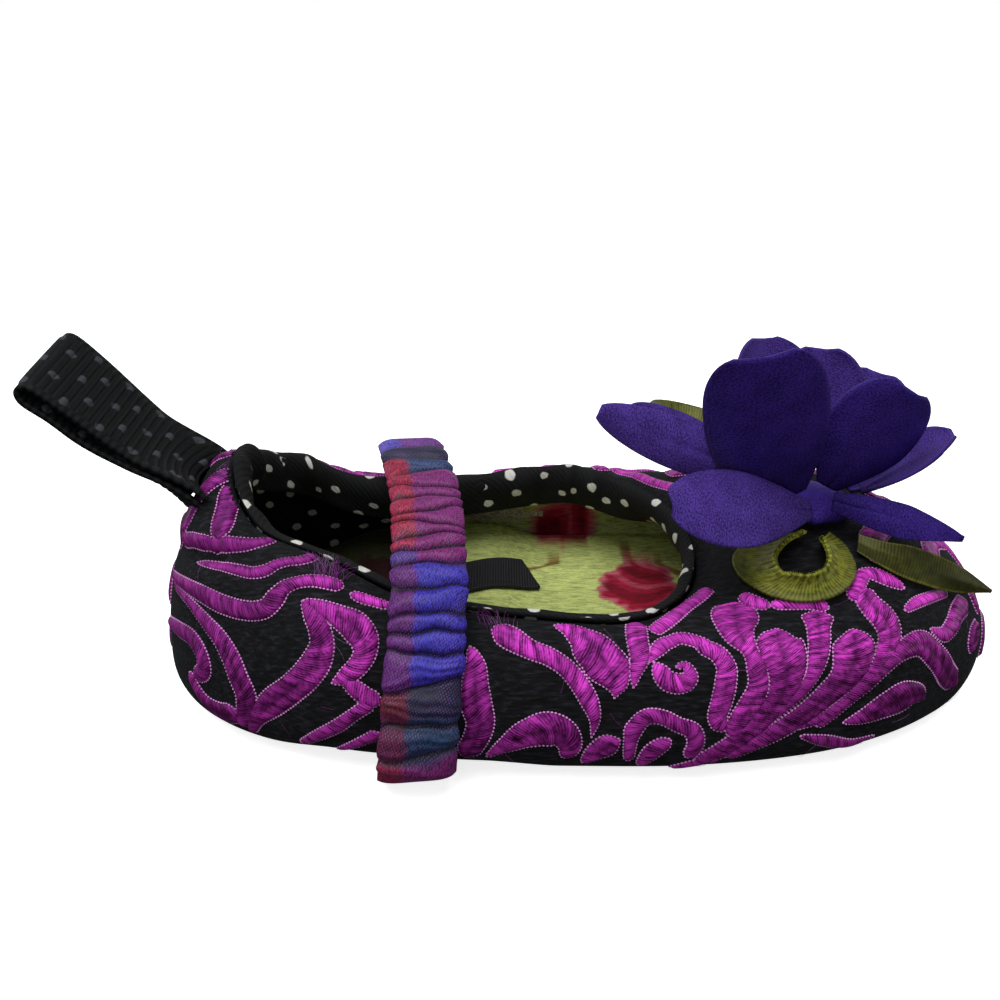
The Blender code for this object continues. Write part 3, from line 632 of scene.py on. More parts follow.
def outline(turn):
    """The widest line of the shoe from above: 0 is the back of the heel, a quarter turn the near side."""
    cosine, sine = np.cos(turn), np.sin(turn)
    toe_half = cosine < 0
    power = 2 / np.where(toe_half, TOE_POWER, HEEL_POWER)
    reach = np.where(toe_half, LENGTH - BALL_ALONG, BALL_ALONG - HEEL_ALONG)
    along = BALL_ALONG - reach * np.sign(cosine) * np.abs(cosine) ** power
    across = -BALL_HALF_WIDTH * np.sign(sine) * np.abs(sine) ** power
    return np.stack([along, across], axis=-1)


FINE_TURN = np.linspace(0, 2 * math.pi, 2881)
TRAVEL = np.concatenate([[0.0], np.cumsum(np.linalg.norm(np.diff(outline(FINE_TURN), axis=0), axis=1))])
GIRTH = TRAVEL[-1]


def turn_of(around):
    """The angle of a place that is so many millimetres round the widest line."""
    return np.interp(np.mod(around, GIRTH), TRAVEL, FINE_TURN)


def lift(along):
    """How far the underside is off the floor: the arch under the band and the toe's spring."""
    rise = smoothstep(ARCH_FOOT_BACK, ARCH_BACK, along)
    fall = 1 - smoothstep(ARCH_FRONT, ARCH_FOOT_FRONT, along)
    spring = np.clip((along - SPRING_FROM) / (LENGTH - SPRING_FROM), 0, None) ** 2
    return ARCH_LIFT * rise * fall + SPRING_LIFT * spring


def inward(turn):
    """The way in from the outline to the middle of the shoe."""
    edge = outline(turn)
    spine = np.stack([np.clip(edge[:, 0], SPINE_BACK, SPINE_FRONT), np.zeros(len(edge))], axis=-1)
    return unit(spine - edge)


def turned_from_heel(turn):
    return math.pi - np.abs(np.mod(turn, 2 * math.pi) - math.pi)


def collar_edge(turn):
    knots = np.radians([row.around_deg for row in COLLAR])
    values = np.array([(row.along, row.across, row.up) for row in COLLAR])
    return closed_spline(knots, values, turn, 2 * math.pi)


def upper_rows(turn):
    """The upper's outside as rows of points, from its tucked-in lower edge to the collar edge."""
    edge = outline(turn)
    way_in = inward(turn)
    rows = []
    for tuck in TUCK:
        plan = edge + way_in * tuck.inward
        rows.append(np.column_stack([plan, tuck.up + tuck.lift_share * lift(plan[:, 0])]))
    bulge = np.column_stack([edge, BULGE_UP + BULGE_LIFT_SHARE * lift(edge[:, 0])])
    reach = collar_edge(turn) - bulge
    from_heel = turned_from_heel(turn)
    toe = smoothstep(math.radians(TOE_FROM_DEG), math.radians(TOE_FULL_DEG), from_heel)
    crown = smoothstep(math.radians(TOE_FROM_DEG), math.radians(CROWN_FULL_DEG), from_heel)
    for rise in RISE:
        toe_up = min(rise.toe_up, 1.0) + max(rise.toe_up - 1.0, 0.0) * crown
        share_in = rise.side_in + (rise.toe_in - rise.side_in) * toe
        share_up = rise.side_up + (toe_up - rise.side_up) * toe
        rows.append(bulge + reach * np.column_stack([share_in, share_in, share_up]))
    return np.array(rows)


def wall_columns(turn):
    """The upper's outside at even steps of its rows, and how far up the wall each step is."""
    rows = upper_rows(turn).reshape(ROWS, -1)
    knot = np.arange(ROWS, dtype=float)
    at = np.linspace(0, ROWS - 1, CLIMB_STEPS + 1)
    points = hermite(knot, rows, np.gradient(rows, knot, axis=0), at).reshape(CLIMB_STEPS + 1, -1, 3)
    steps = np.linalg.norm(np.diff(points, axis=0), axis=2)
    return points, np.concatenate([np.zeros((1, len(turn))), np.cumsum(steps, axis=0)])


def wall_at(around, climb):
    """The place so far round and so far up the wall, and the wall's whole height there."""
    points, climbed = wall_columns(turn_of(around))
    here = np.arange(len(around))
    span = np.clip((climbed < climb).sum(axis=0) - 1, 0, CLIMB_STEPS - 1)
    low = climbed[span, here]
    share = np.clip((climb - low) / (climbed[span + 1, here] - low), 0, 1)[:, None]
    return points[span, here] * (1 - share) + points[span + 1, here] * share, climbed[-1]


def relief(around, climb, top, crease_share):
    """How far the soft upper stands off its even form, by creases with ridges beside them and unevenness."""
    signed, climb = np.broadcast_arrays(np.mod(around + GIRTH / 2, GIRTH) - GIRTH / 2, climb)
    height = 0.14 * np.sin(signed / 6.1 + climb / 5.3) * np.sin(signed / 9.7 - climb / 4.1 + 1.0)
    for crease in CREASES:
        reach = np.array([crease.to_around - crease.around, crease.to_climb - crease.climb])
        from_start = np.stack([signed - crease.around, climb - crease.climb], axis=-1)
        share = np.clip(from_start @ reach / (reach @ reach), 0, 1)
        off = np.linalg.norm(from_start - share[..., None] * reach, axis=-1) / crease.half
        ends = 0.35 + 0.65 * np.sin(math.pi * np.clip(share, 0.06, 0.94))
        ridge = RIDGE_SHARE * np.exp(-((off - 1.9) ** 2))
        height = height + crease.depth * crease_share * ends * (ridge - np.exp(-(off**2)))
    fade = smoothstep(3.0, 6.5, climb) * (1 - smoothstep(-4.0, -1.2, climb - top))
    return height * fade


def upper_surface(around, climb, crease_share):
    """The creased outside of the upper with its normal, its two directions and the wall's height."""
    plain, top = wall_at(around, climb)
    step = 0.3
    inside = np.clip(climb, step, top - step)
    per_around = (wall_at(around + step, inside)[0] - wall_at(around - step, inside)[0]) / (2 * step)
    per_climb = (wall_at(around, inside + step)[0] - wall_at(around, inside - step)[0]) / (2 * step)
    normal = unit(np.cross(per_around, per_climb))
    lifted = plain + normal * relief(around, climb, top, crease_share)[:, None]
    return lifted, normal, per_around, per_climb, top


def direction(turn_deg, rise_deg):
    turn, rise = math.radians(turn_deg), math.radians(rise_deg)
    return np.array([math.cos(turn) * math.cos(rise), math.sin(turn) * math.cos(rise), math.sin(rise)])


def blade_share(reach, tip, root):
    """A petal's width along its length, as a share of its widest."""
    opening = root + (1 - root) * np.sin(math.pi / 2 * np.minimum(reach / PETAL_WIDEST, 1))
    past = np.clip((reach - PETAL_WIDEST) / PETAL_TIP_REACH, 0, 0.985)
    return np.where(reach < PETAL_WIDEST, opening, (1 - past**tip) ** (1 / tip))


# Making meshes and materials


def plug(tree, node, links):
    """Joins each input to a socket, or sets it to a value, by the input's name or place."""
    for key, value in links.items():
        if isinstance(value, bpy.types.NodeSocket):
            tree.links.new(value, node.inputs[key])
        else:
            node.inputs[key].default_value = value
    return node


def add(tree, kind, links=None, stops=(), **settings):
    """One node with its settings and links, and the stops of its colour ramp if it has one."""
    node = tree.nodes.new(kind)
    for key, value in settings.items():
        setattr(node, key, value)
    for place, (at, colour) in enumerate(stops):
        stop = node.color_ramp.elements[place] if place < 2 else node.color_ramp.elements.new(at)
        stop.position = at
        stop.color = rgb(colour)
    return plug(tree, node, links or {})


def new_finish(name, sockets):
    """A material with the values that are the same all over it."""
    made = bpy.data.materials.new(name)
    made.use_nodes = True
    shader = plug(made.node_tree, made.node_tree.nodes["Principled BSDF"], sockets)
    return made, made.node_tree, shader


def shared(name, make):
    """A finish that more than one piece wears, made once."""
    return bpy.data.materials.get(name) or make()


def new_piece(name, points, faces, finish, cloth=None, dye_and_shading=None, edges=()):
    """One object from points in millimetres. Cloth gives each face's corners their places on the flat cloth in
    millimetres, and dye gives each point its colour, with painted light and shade on some pieces."""
    mesh = bpy.data.meshes.new(name)
    mesh.from_pydata(((points - [ORIGIN_ALONG, 0, 0]) * MM).tolist(), edges, faces.tolist())
    mesh.polygons.foreach_set("use_smooth", np.ones(len(faces), bool))
    if cloth is not None:
        mesh.uv_layers.new(name="cloth").data.foreach_set("uv", cloth.astype(np.float32).ravel())
    if dye_and_shading is not None:
        tint = mesh.color_attributes.new("dye_and_shading", "FLOAT_COLOR", "POINT")
        tint.data.foreach_set("color", np.column_stack([dye_and_shading, np.ones(len(dye_and_shading))]).astype(np.float32).ravel())
    if finish:
        mesh.materials.append(finish)
    piece = bpy.data.objects.new(name, mesh)
    bpy.context.scene.collection.objects.link(piece)
    return piece


def grid_corners(rows, columns, ring=False, tube=False):
    """The row and column of each face's corners in a grid, past the end where a ring or tube comes round."""
    row, column = np.meshgrid(np.arange(rows - (not ring)), np.arange(columns - (not tube)), indexing="ij")
    row, column = row.reshape(-1, 1), column.reshape(-1, 1)
    return row + [0, 1, 1, 0], column + [0, 0, 1, 1]


def grid_piece(name, points, finish, ring=False, tube=False, cloth=None, dye_and_shading=None):
    """One object over a grid of points. A ring joins the last row to the first, a tube the last column."""
    rows, columns = points.shape[:2]
    row, column = grid_corners(rows, columns, ring, tube)
    faces = (row % rows) * columns + column % columns
    flat = None if cloth is None else cloth[row, column]
    tint = None if dye_and_shading is None else dye_and_shading.reshape(-1, 3)
    return new_piece(name, points.reshape(-1, 3), faces, finish, flat, tint)


def weld(piece, within=1e-6):
    """Joins points that meet, so that seams and poles are closed."""
    work = bmesh.new()
    work.from_mesh(piece.data)
    bmesh.ops.remove_doubles(work, verts=work.verts, dist=within)
    work.to_mesh(piece.data)
    work.free()
    return piece


def thicken(piece, thick):
    shell = piece.modifiers.new("cloth thickness", "SOLIDIFY")
    shell.thickness = thick * MM
    shell.offset = 0.0
    shell.use_even_offset = False
    return piece


def flat_cloth(points, ring=False, tube=False):
    """Places on the flat cloth for a grid: millimetres across the columns, and along the middle column."""
    along = np.linalg.norm(np.diff(points, axis=0, append=points[:1]), axis=2)
    over = np.linalg.norm(np.diff(points, axis=1, append=points[:, :1]), axis=2)
    down = np.cumsum(along[:, points.shape[1] // 2])
    wide = np.cumsum(over.mean(axis=0))
    down = np.concatenate([[0.0], down])[: points.shape[0] + ring]
    wide = np.concatenate([[0.0], wide])[: points.shape[1] + tube]
    return np.stack(np.meshgrid(wide - wide.mean(), down), axis=-1)


def settle(piece, slot, *nodes):
    """Puts a finished piece on the shoe's body and hides the solids that it stands for; its slot is not used.
    """
    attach(piece, BODY)
    if nodes:
        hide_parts(*nodes)
    return piece


# Materials


def shade_by(tree, shader, tone, stops, dye_and_shading=None):
    """Colours a finish by the ramp of a tone, over its dye if it has one, which on some pieces carries painted
    light and shade.
    """
    colour = add(tree, "ShaderNodeValToRGB", {"Fac": tone}, stops=stops).outputs[0]
    if dye_and_shading is not None:
        over = {0: 1.0, 6: dye_and_shading, 7: colour}
        colour = add(tree, "ShaderNodeMix", over, data_type="RGBA", blend_type="MULTIPLY").outputs[2]
    plug(tree, shader, {"Base Color": colour})


def wool_satin(ground):
    # Brushed wool-faced satin, piece-dyed black: matt, with a fine nap along the shoe that catches grey light
    made, tree, shader = new_finish("brushed wool satin", {
        "Roughness": 0.8, "Specular IOR Level": 0.18, "Sheen Weight": 0.04, "Sheen Roughness": 0.45,
        "Sheen Tint": rgb("#A8B4B8"),
    })
    where = add(tree, "ShaderNodeTexCoord")
    # Fibres of 0.05 mm are too fine to show, so they are drawn 0.4 mm wide and 2 mm long
    nap = add(tree, "ShaderNodeMapping", {"Vector": where.outputs["Object"], "Scale": (500, 2500, 2500)})
    fibre = add(tree, "ShaderNodeTexNoise", {
        "Vector": nap.outputs[0], "Scale": 1.0, "Detail": 4.0, "Roughness": 0.65,
    })
    shade_by(tree, shader, fibre.outputs[0], ((0.38, "#303030"), (0.54, "#A0A0A0"), (0.64, "#FFFFFF")), ground)
    bump = add(tree, "ShaderNodeBump", {"Height": fibre.outputs[0], "Strength": 0.7, "Distance": 0.00022})
    plug(tree, shader, {"Normal": bump.outputs[0]})
    return made


def satin_stitch():
    # Rayon floss in satin stitch: glossy magenta threads in streaks that turn to the light or away from it,
    # painted into the colour as highlight and shade
    made, tree, shader = new_finish("rayon satin stitch", {
        "Roughness": 0.34, "Specular IOR Level": 0.5, "Specular Tint": rgb("#E868F0"),
    })
    cloth = add(tree, "ShaderNodeUVMap", uv_map="cloth")
    dye_and_shading = add(tree, "ShaderNodeAttribute", attribute_name="dye_and_shading")
    slant = add(tree, "ShaderNodeMapping", {"Vector": cloth.outputs[0], "Rotation": (0.0, 0.0, 0.5)})
    # Threads of 0.25 mm are drawn 0.3 mm apart
    thread = add(tree, "ShaderNodeTexWave", {
        "Vector": slant.outputs[0], "Scale": WAVE_UNIT / 0.3, "Distortion": 1.4,
        "Detail": 2.0, "Detail Scale": 1.5,
    }, bands_direction="Y")
    # Streaks 0.6 mm wide and 2.5 mm long of painted highlight and shade
    streak = add(tree, "ShaderNodeMapping", {"Vector": slant.outputs[0], "Scale": (0.4, 1.7, 1.0)})
    tone = add(tree, "ShaderNodeTexNoise", {
        "Vector": streak.outputs[0], "Scale": 1.0, "Detail": 4.0, "Roughness": 0.65,
    })
    both = add(tree, "ShaderNodeMath", {
        0: thread.outputs["Fac"], 1: 0.16, 2: tone.outputs[0],
    }, operation="MULTIPLY_ADD")
    stops = ((0.42, "#404040"), (0.55, "#C8C8C8"), (0.64, "#FFFFFF"))
    shade_by(tree, shader, both.outputs[0], stops, dye_and_shading.outputs["Color"])
    bump = add(tree, "ShaderNodeBump", {"Height": both.outputs[0], "Strength": 0.6, "Distance": 0.0002})
    plug(tree, shader, {"Normal": bump.outputs[0]})
    return made


def couching_thread(pale):
    # Fine cotton thread: pale, matt dots with a little unevenness in the dye
    made, tree, shader = new_finish("couching thread", {"Roughness": 0.75, "Specular IOR Level": 0.3})
    where = add(tree, "ShaderNodeTexCoord")
    # Patches of 3 mm where the dye took more or less
    patch = add(tree, "ShaderNodeTexNoise", {
        "Vector": where.outputs["Object"], "Scale": 330.0, "Detail": 2.0,
    })
    shade_by(tree, shader, patch.outputs[0], ((0.3, "#B8B8B8"), (0.6, "#FFFFFF")), pale)
    return made


def cream_lining():
    # Brushed cotton lining: cream, soft and matt, with a faint weave
    made, tree, shader = new_finish("cream cotton lining", {"Roughness": 0.95, "Specular IOR Level": 0.15})
    where = add(tree, "ShaderNodeTexCoord")
    # Yarns of 0.4 mm
    yarn = add(tree, "ShaderNodeTexNoise", {
        "Vector": where.outputs["Object"], "Scale": 2500.0, "Detail": 2.0,
    })
    shade_by(tree, shader, yarn.outputs[0], ((0.3, "#8E8672"), (0.7, "#D8D0BA")))
    bump = add(tree, "ShaderNodeBump", {"Height": yarn.outputs[0], "Strength": 0.5, "Distance": 0.0002})
    plug(tree, shader, {"Normal": bump.outputs[0]})
    return made


def dotted_cotton():
    # Printed quilting cotton: matt black with small white dots, set a little unevenly, over a plain weave
    made, tree, shader = new_finish("dotted cotton", {"Roughness": 0.85, "Specular IOR Level": 0.25})
    cloth = add(tree, "ShaderNodeUVMap", uv_map="cloth")
    # Dots 1.2 mm wide and a little longer, one to each 3.6 mm
    long = add(tree, "ShaderNodeMapping", {
        "Vector": cloth.outputs[0], "Rotation": (0.0, 0.0, 0.5), "Scale": (1 / 3.7, 1 / 4.7, 1.0),
    })
    spot = add(tree, "ShaderNodeTexVoronoi", {
        "Vector": long.outputs[0], "Scale": 1.0, "Randomness": 0.65,
    }, voronoi_dimensions="2D")
    ragged = add(tree, "ShaderNodeTexNoise", {"Vector": cloth.outputs[0], "Scale": 1.6, "Detail": 2.0})
    edge = add(tree, "ShaderNodeMath", {
        0: ragged.outputs[0], 1: 0.09, 2: spot.outputs["Distance"],
    }, operation="MULTIPLY_ADD")
    shade_by(tree, shader, edge.outputs[0], ((0.185, "#D2D0CA"), (0.22, "#0E0F11")))
    # Yarns of 0.3 mm are drawn 0.5 mm apart
    yarn = add(tree, "ShaderNodeTexWave", {
        "Vector": cloth.outputs[0], "Scale": WAVE_UNIT / 0.5, "Distortion": 2.0,
    }, bands_direction="DIAGONAL")
    bump = add(tree, "ShaderNodeBump", {"Height": yarn.outputs["Fac"], "Strength": 0.35, "Distance": 0.0002})
    plug(tree, shader, {"Normal": bump.outputs[0]})
    return made


def brushed_flannel():
    # Ribbed cotton flannel with a printed pattern: soft, matt, with crimped lengthwise ribs and a short nap
    made, tree, shader = new_finish("printed flannel", {
        "Roughness": 0.95, "Specular IOR Level": 0.15, "Sheen Weight": 0.06, "Sheen Tint": rgb("#E8F0C0"),
    })
    where = add(tree, "ShaderNodeTexCoord")
    dye_and_shading = add(tree, "ShaderNodeAttribute", attribute_name="dye_and_shading")
    # Crimps 0.4 mm wide and 2 mm long that wander, and a nap of 0.3 mm
    askew = add(tree, "ShaderNodeMapping", {
        "Vector": where.outputs["Object"], "Rotation": (0.0, 0.0, -0.3), "Scale": (500, 2500, 2500),
    })
    rib = add(tree, "ShaderNodeTexNoise", {
        "Vector": askew.outputs[0], "Scale": 1.0, "Detail": 2.0, "Distortion": 0.8,
    })
    nap = add(tree, "ShaderNodeTexNoise", {"Vector": where.outputs["Object"], "Scale": 3300.0, "Detail": 3.0})
    both = add(tree, "ShaderNodeMath", {
        0: nap.outputs[0], 1: 0.3, 2: rib.outputs[0],
    }, operation="MULTIPLY_ADD")
    shade_by(tree, shader, both.outputs[0], ((0.46, "#BEBEBE"), (0.76, "#FFFFFF")), dye_and_shading.outputs["Color"])
    bump = add(tree, "ShaderNodeBump", {"Height": both.outputs[0], "Strength": 0.6, "Distance": 0.0002})
    plug(tree, shader, {"Normal": bump.outputs[0]})
    return made


def woven_tape():
    # Damask-woven tape: black with a slight sheen and fine crosswise yarns
    made, tree, shader = new_finish("woven tape", {"Roughness": 0.6, "Specular IOR Level": 0.35})
    where = add(tree, "ShaderNodeTexCoord")
    # Yarns of 0.25 mm are drawn 0.4 mm apart
    yarn = add(tree, "ShaderNodeTexWave", {
        "Vector": where.outputs["Object"], "Scale": WAVE_UNIT / 0.0004, "Distortion": 0.8,
    }, bands_direction="X")
    shade_by(tree, shader, yarn.outputs["Fac"], ((0.2, "#08080A"), (0.8, "#222228")))
    bump = add(tree, "ShaderNodeBump", {"Height": yarn.outputs["Fac"], "Strength": 0.5, "Distance": 0.00015})
    plug(tree, shader, {"Normal": bump.outputs[0]})
    return made


def shot_taffeta():
    # Shot taffeta in a plaid: crisp and slightly glossy, with pale points in rows where the two yarns cross
    made, tree, shader = new_finish("shot taffeta", {
        "Roughness": 0.5, "Specular IOR Level": 0.35, "Sheen Weight": 0.03, "Sheen Tint": rgb("#C0B8F0"),
    })
    cloth = add(tree, "ShaderNodeUVMap", uv_map="cloth")
    dye_and_shading = add(tree, "ShaderNodeAttribute", attribute_name="dye_and_shading")
    turned = add(tree, "ShaderNodeMapping", {
        "Vector": cloth.outputs[0], "Rotation": (0.0, 0.0, 0.7), "Scale": (3.2, 1.2, 1.0),
    })
    # Flecks 0.3 mm wide and 0.8 mm long
    fleck = add(tree, "ShaderNodeTexNoise", {
        "Vector": turned.outputs[0], "Scale": 1.0, "Detail": 2.0, "Roughness": 0.6,
    })
    shade = add(tree, "ShaderNodeValToRGB", {
        "Fac": fleck.outputs[0],
    }, stops=((0.34, "#6A6A6A"), (0.6, "#FFFFFF")))
    deep = add(tree, "ShaderNodeMix", {
        0: 1.0, 6: dye_and_shading.outputs["Color"], 7: shade.outputs[0],
    }, data_type="RGBA", blend_type="MULTIPLY")
    # The weave's pale points of 0.2 mm are drawn 0.42 mm apart in rows 0.55 mm apart
    net = add(tree, "ShaderNodeMapping", {
        "Vector": cloth.outputs[0], "Rotation": (0.0, 0.0, 0.5), "Scale": (1 / 0.42, 1 / 0.55, 1.0),
    })
    point = add(tree, "ShaderNodeTexVoronoi", {
        "Vector": net.outputs[0], "Scale": 1.0, "Randomness": 0.2,
    }, voronoi_dimensions="2D")
    pale = add(tree, "ShaderNodeValToRGB", {
        "Fac": point.outputs["Distance"],
    }, stops=((0.1, "#A068C8"), (0.36, "#000000")))
    patch = add(tree, "ShaderNodeTexNoise", {"Vector": cloth.outputs[0], "Scale": 0.22, "Detail": 2.0})
    much = add(tree, "ShaderNodeMapRange", {0: patch.outputs[0], 1: 0.35, 2: 0.7, 3: 0.06, 4: 0.4})
    colour = add(tree, "ShaderNodeMix", {
        0: much.outputs[0], 6: deep.outputs[2], 7: pale.outputs[0],
    }, data_type="RGBA", blend_type="SCREEN")
    plug(tree, shader, {"Base Color": colour.outputs[2]})
    bump = add(tree, "ShaderNodeBump", {"Height": fleck.outputs[0], "Strength": 0.4, "Distance": 0.0002})
    plug(tree, shader, {"Normal": bump.outputs[0]})
    return made


def black_grosgrain():
    # Ribbed ribbon: black, with a painted highlight on each rib and painted shade in the grooves,
    # and grey pin dots in a staggered net
    made, tree, shader = new_finish("black grosgrain", {"Roughness": 0.6, "Specular IOR Level": 0.16})
    cloth = add(tree, "ShaderNodeUVMap", uv_map="cloth")
    # Dots 1.2 mm wide, staggered in rows 2.5 mm apart
    net = add(tree, "ShaderNodeMapping", {
        "Vector": cloth.outputs[0], "Rotation": (0.0, 0.0, math.pi / 4), "Scale": (1 / 3.6, 1 / 3.6, 1.0),
    })
    spot = add(tree, "ShaderNodeTexVoronoi", {
        "Vector": net.outputs[0], "Scale": 1.0, "Randomness": 0.04,
    }, voronoi_dimensions="2D")
    dot = add(tree, "ShaderNodeValToRGB", {
        "Fac": spot.outputs["Distance"],
    }, stops=((0.15, "#3A3D42"), (0.19, "#000000")))
    # Ribs as far apart as the piece's own, painted lighter on top and darker between
    rib = add(tree, "ShaderNodeTexWave", {
        "Vector": cloth.outputs[0], "Scale": WAVE_UNIT / RIB_PITCH, "Distortion": 0.25,
    }, bands_direction="Y")
    yarn = add(tree, "ShaderNodeTexNoise", {"Vector": cloth.outputs[0], "Scale": 4.0, "Detail": 2.0})
    mixed = add(tree, "ShaderNodeMath", {
        0: yarn.outputs[0], 1: 0.5, 2: rib.outputs["Fac"],
    }, operation="MULTIPLY_ADD")
    ground = add(tree, "ShaderNodeValToRGB", {
        "Fac": mixed.outputs[0],
    }, stops=((0.5, "#010102"), (1.0, "#15181A")))
    colour = add(tree, "ShaderNodeMix", {
        0: 1.0, 6: ground.outputs[0], 7: dot.outputs[0],
    }, data_type="RGBA", blend_type="SCREEN")
    plug(tree, shader, {"Base Color": colour.outputs[2]})
    bump = add(tree, "ShaderNodeBump", {"Height": yarn.outputs[0], "Strength": 0.4, "Distance": 0.00015})
    plug(tree, shader, {"Normal": bump.outputs[0]})
    return made


def lime_taffeta():
    # Taffeta ribbon: crisp lime with fine crosswise yarns and a dry lustre
    made, tree, shader = new_finish("lime taffeta ribbon", {
        "Roughness": 0.42, "Specular IOR Level": 0.45, "Specular Tint": rgb("#F4F6B0"),
    })
    cloth = add(tree, "ShaderNodeUVMap", uv_map="cloth")
    dye_and_shading = add(tree, "ShaderNodeAttribute", attribute_name="dye_and_shading")
    # Yarns of 0.2 mm are drawn 0.4 mm apart
    yarn = add(tree, "ShaderNodeTexWave", {
        "Vector": cloth.outputs[0], "Scale": WAVE_UNIT / 0.4, "Distortion": 1.5, "Detail": 2.0,
    }, bands_direction="Y")
    tone = add(tree, "ShaderNodeTexNoise", {"Vector": cloth.outputs[0], "Scale": 0.9, "Detail": 4.0})
    both = add(tree, "ShaderNodeMath", {
        0: yarn.outputs["Fac"], 1: 0.26, 2: tone.outputs[0],
    }, operation="MULTIPLY_ADD")
    shade_by(tree, shader, both.outputs[0], ((0.4, "#7A7A7A"), (0.86, "#FFFFFF")), dye_and_shading.outputs["Color"])
    bump = add(tree, "ShaderNodeBump", {"Height": both.outputs[0], "Strength": 0.35, "Distance": 0.00015})
    plug(tree, shader, {"Normal": bump.outputs[0]})
    return made


def indigo_satin():
    # Polyester satin: deep indigo, with the fine grain of its weave and a broad soft highlight
    made, tree, shader = new_finish("indigo satin", {
        "Roughness": 0.58, "Specular IOR Level": 0.2, "Specular Tint": rgb("#8878E8"),
    })
    cloth = add(tree, "ShaderNodeUVMap", uv_map="cloth")
    dye_and_shading = add(tree, "ShaderNodeAttribute", attribute_name="dye_and_shading")
    # Floats of 0.15 mm are drawn 0.2 mm wide and 0.3 mm long, askew to the petal
    turned = add(tree, "ShaderNodeMapping", {
        "Vector": cloth.outputs[0], "Rotation": (0.0, 0.0, 0.6), "Scale": (3.6, 5.4, 1.0),
    })
    grain = add(tree, "ShaderNodeTexNoise", {
        "Vector": turned.outputs[0], "Scale": 1.0, "Detail": 1.0, "Roughness": 0.4,
    })
    tone = add(tree, "ShaderNodeTexNoise", {"Vector": cloth.outputs[0], "Scale": 0.3, "Detail": 2.0})
    both = add(tree, "ShaderNodeMath", {
        0: tone.outputs[0], 1: 0.4, 2: grain.outputs[0],
    }, operation="MULTIPLY_ADD")
    shade_by(tree, shader, both.outputs[0], ((0.48, "#828282"), (0.9, "#FFFFFF")), dye_and_shading.outputs["Color"])
    bump = add(tree, "ShaderNodeBump", {"Height": grain.outputs[0], "Strength": 0.35, "Distance": 0.0001})
    plug(tree, shader, {"Normal": bump.outputs[0]})
    return made


def black_suede():
    # Split suede, dyed black: matt, with a short uneven nap
    made, tree, shader = new_finish("black suede", {
        "Roughness": 0.92, "Specular IOR Level": 0.2, "Sheen Weight": 0.08, "Sheen Tint": rgb("#8A8A90"),
    })
    where = add(tree, "ShaderNodeTexCoord")
    # Nap tufts of 0.4 mm in brushed patches of 6 mm
    tuft = add(tree, "ShaderNodeTexNoise", {
        "Vector": where.outputs["Object"], "Scale": 2500.0, "Detail": 3.0,
    })
    patch = add(tree, "ShaderNodeTexNoise", {
        "Vector": where.outputs["Object"], "Scale": 160.0, "Detail": 2.0,
    })
    both = add(tree, "ShaderNodeMath", {
        0: tuft.outputs[0], 1: 0.5, 2: patch.outputs[0],
    }, operation="MULTIPLY_ADD")
    shade_by(tree, shader, both.outputs[0], ((0.45, "#101012"), (0.95, "#2E2E32")))
    bump = add(tree, "ShaderNodeBump", {"Height": tuft.outputs[0], "Strength": 0.6, "Distance": 0.0002})
    plug(tree, shader, {"Normal": bump.outputs[0]})
    return made


def lint_fibre():
    # Stray rayon fibres: thin and slightly shiny, magenta or faded grey by the threads that they came from
    made, tree, shader = new_finish("lint fibre", {"Roughness": 0.5, "Specular IOR Level": 0.4})
    where = add(tree, "ShaderNodeTexCoord")
    # A change of dye at each 4 mm
    patch = add(tree, "ShaderNodeTexNoise", {
        "Vector": where.outputs["Object"], "Scale": 250.0, "Detail": 1.0,
    })
    shade_by(tree, shader, patch.outputs[0], ((0.5, "#8E2A92"), (0.72, "#8A7E90")))
    return made


def studio_paper():
    # Matt white background paper, lit a little from below, with a barely uneven surface
    made, tree, shader = new_finish("white background paper", {
        "Roughness": 0.95, "Specular IOR Level": 0.1,
        "Emission Color": rgb("#FFFFFF"), "Emission Strength": 0.75,
    })
    where = add(tree, "ShaderNodeTexCoord")
    # Fibres of 1.5 mm
    grain = add(tree, "ShaderNodeTexNoise", {
        "Vector": where.outputs["Object"], "Scale": 700.0, "Detail": 2.0,
    })
    shade_by(tree, shader, grain.outputs[0], ((0.3, "#F6F6F6"), (0.7, "#FAFAFA")))
    return made


# Pieces


def upper_grid(crease_share):
    """The upper round its whole section: the creased outside, the rim, then the lining to the lower edge."""
    around = np.linspace(0, GIRTH, UPPER_STATIONS, endpoint=False)
    points, climbed = (rows.swapaxes(0, 1) for rows in wall_columns(turn_of(around)))
    per_around = np.roll(points, -1, axis=0) - np.roll(points, 1, axis=0)
    per_climb = np.gradient(points, axis=1)
    normal = unit(np.cross(per_around, per_climb))
    outside = points + normal * relief(around[:, None], climbed, climbed[:, -1:], crease_share)[..., None]
    inside = (points - normal * WALL)[:, ::-LINING_STEP]
    rim = (points[:, -1:] + inside[:, :1]) / 2 + unit(per_climb[:, -1:]) * 0.5
    return np.concatenate([outside, rim, inside], axis=1)


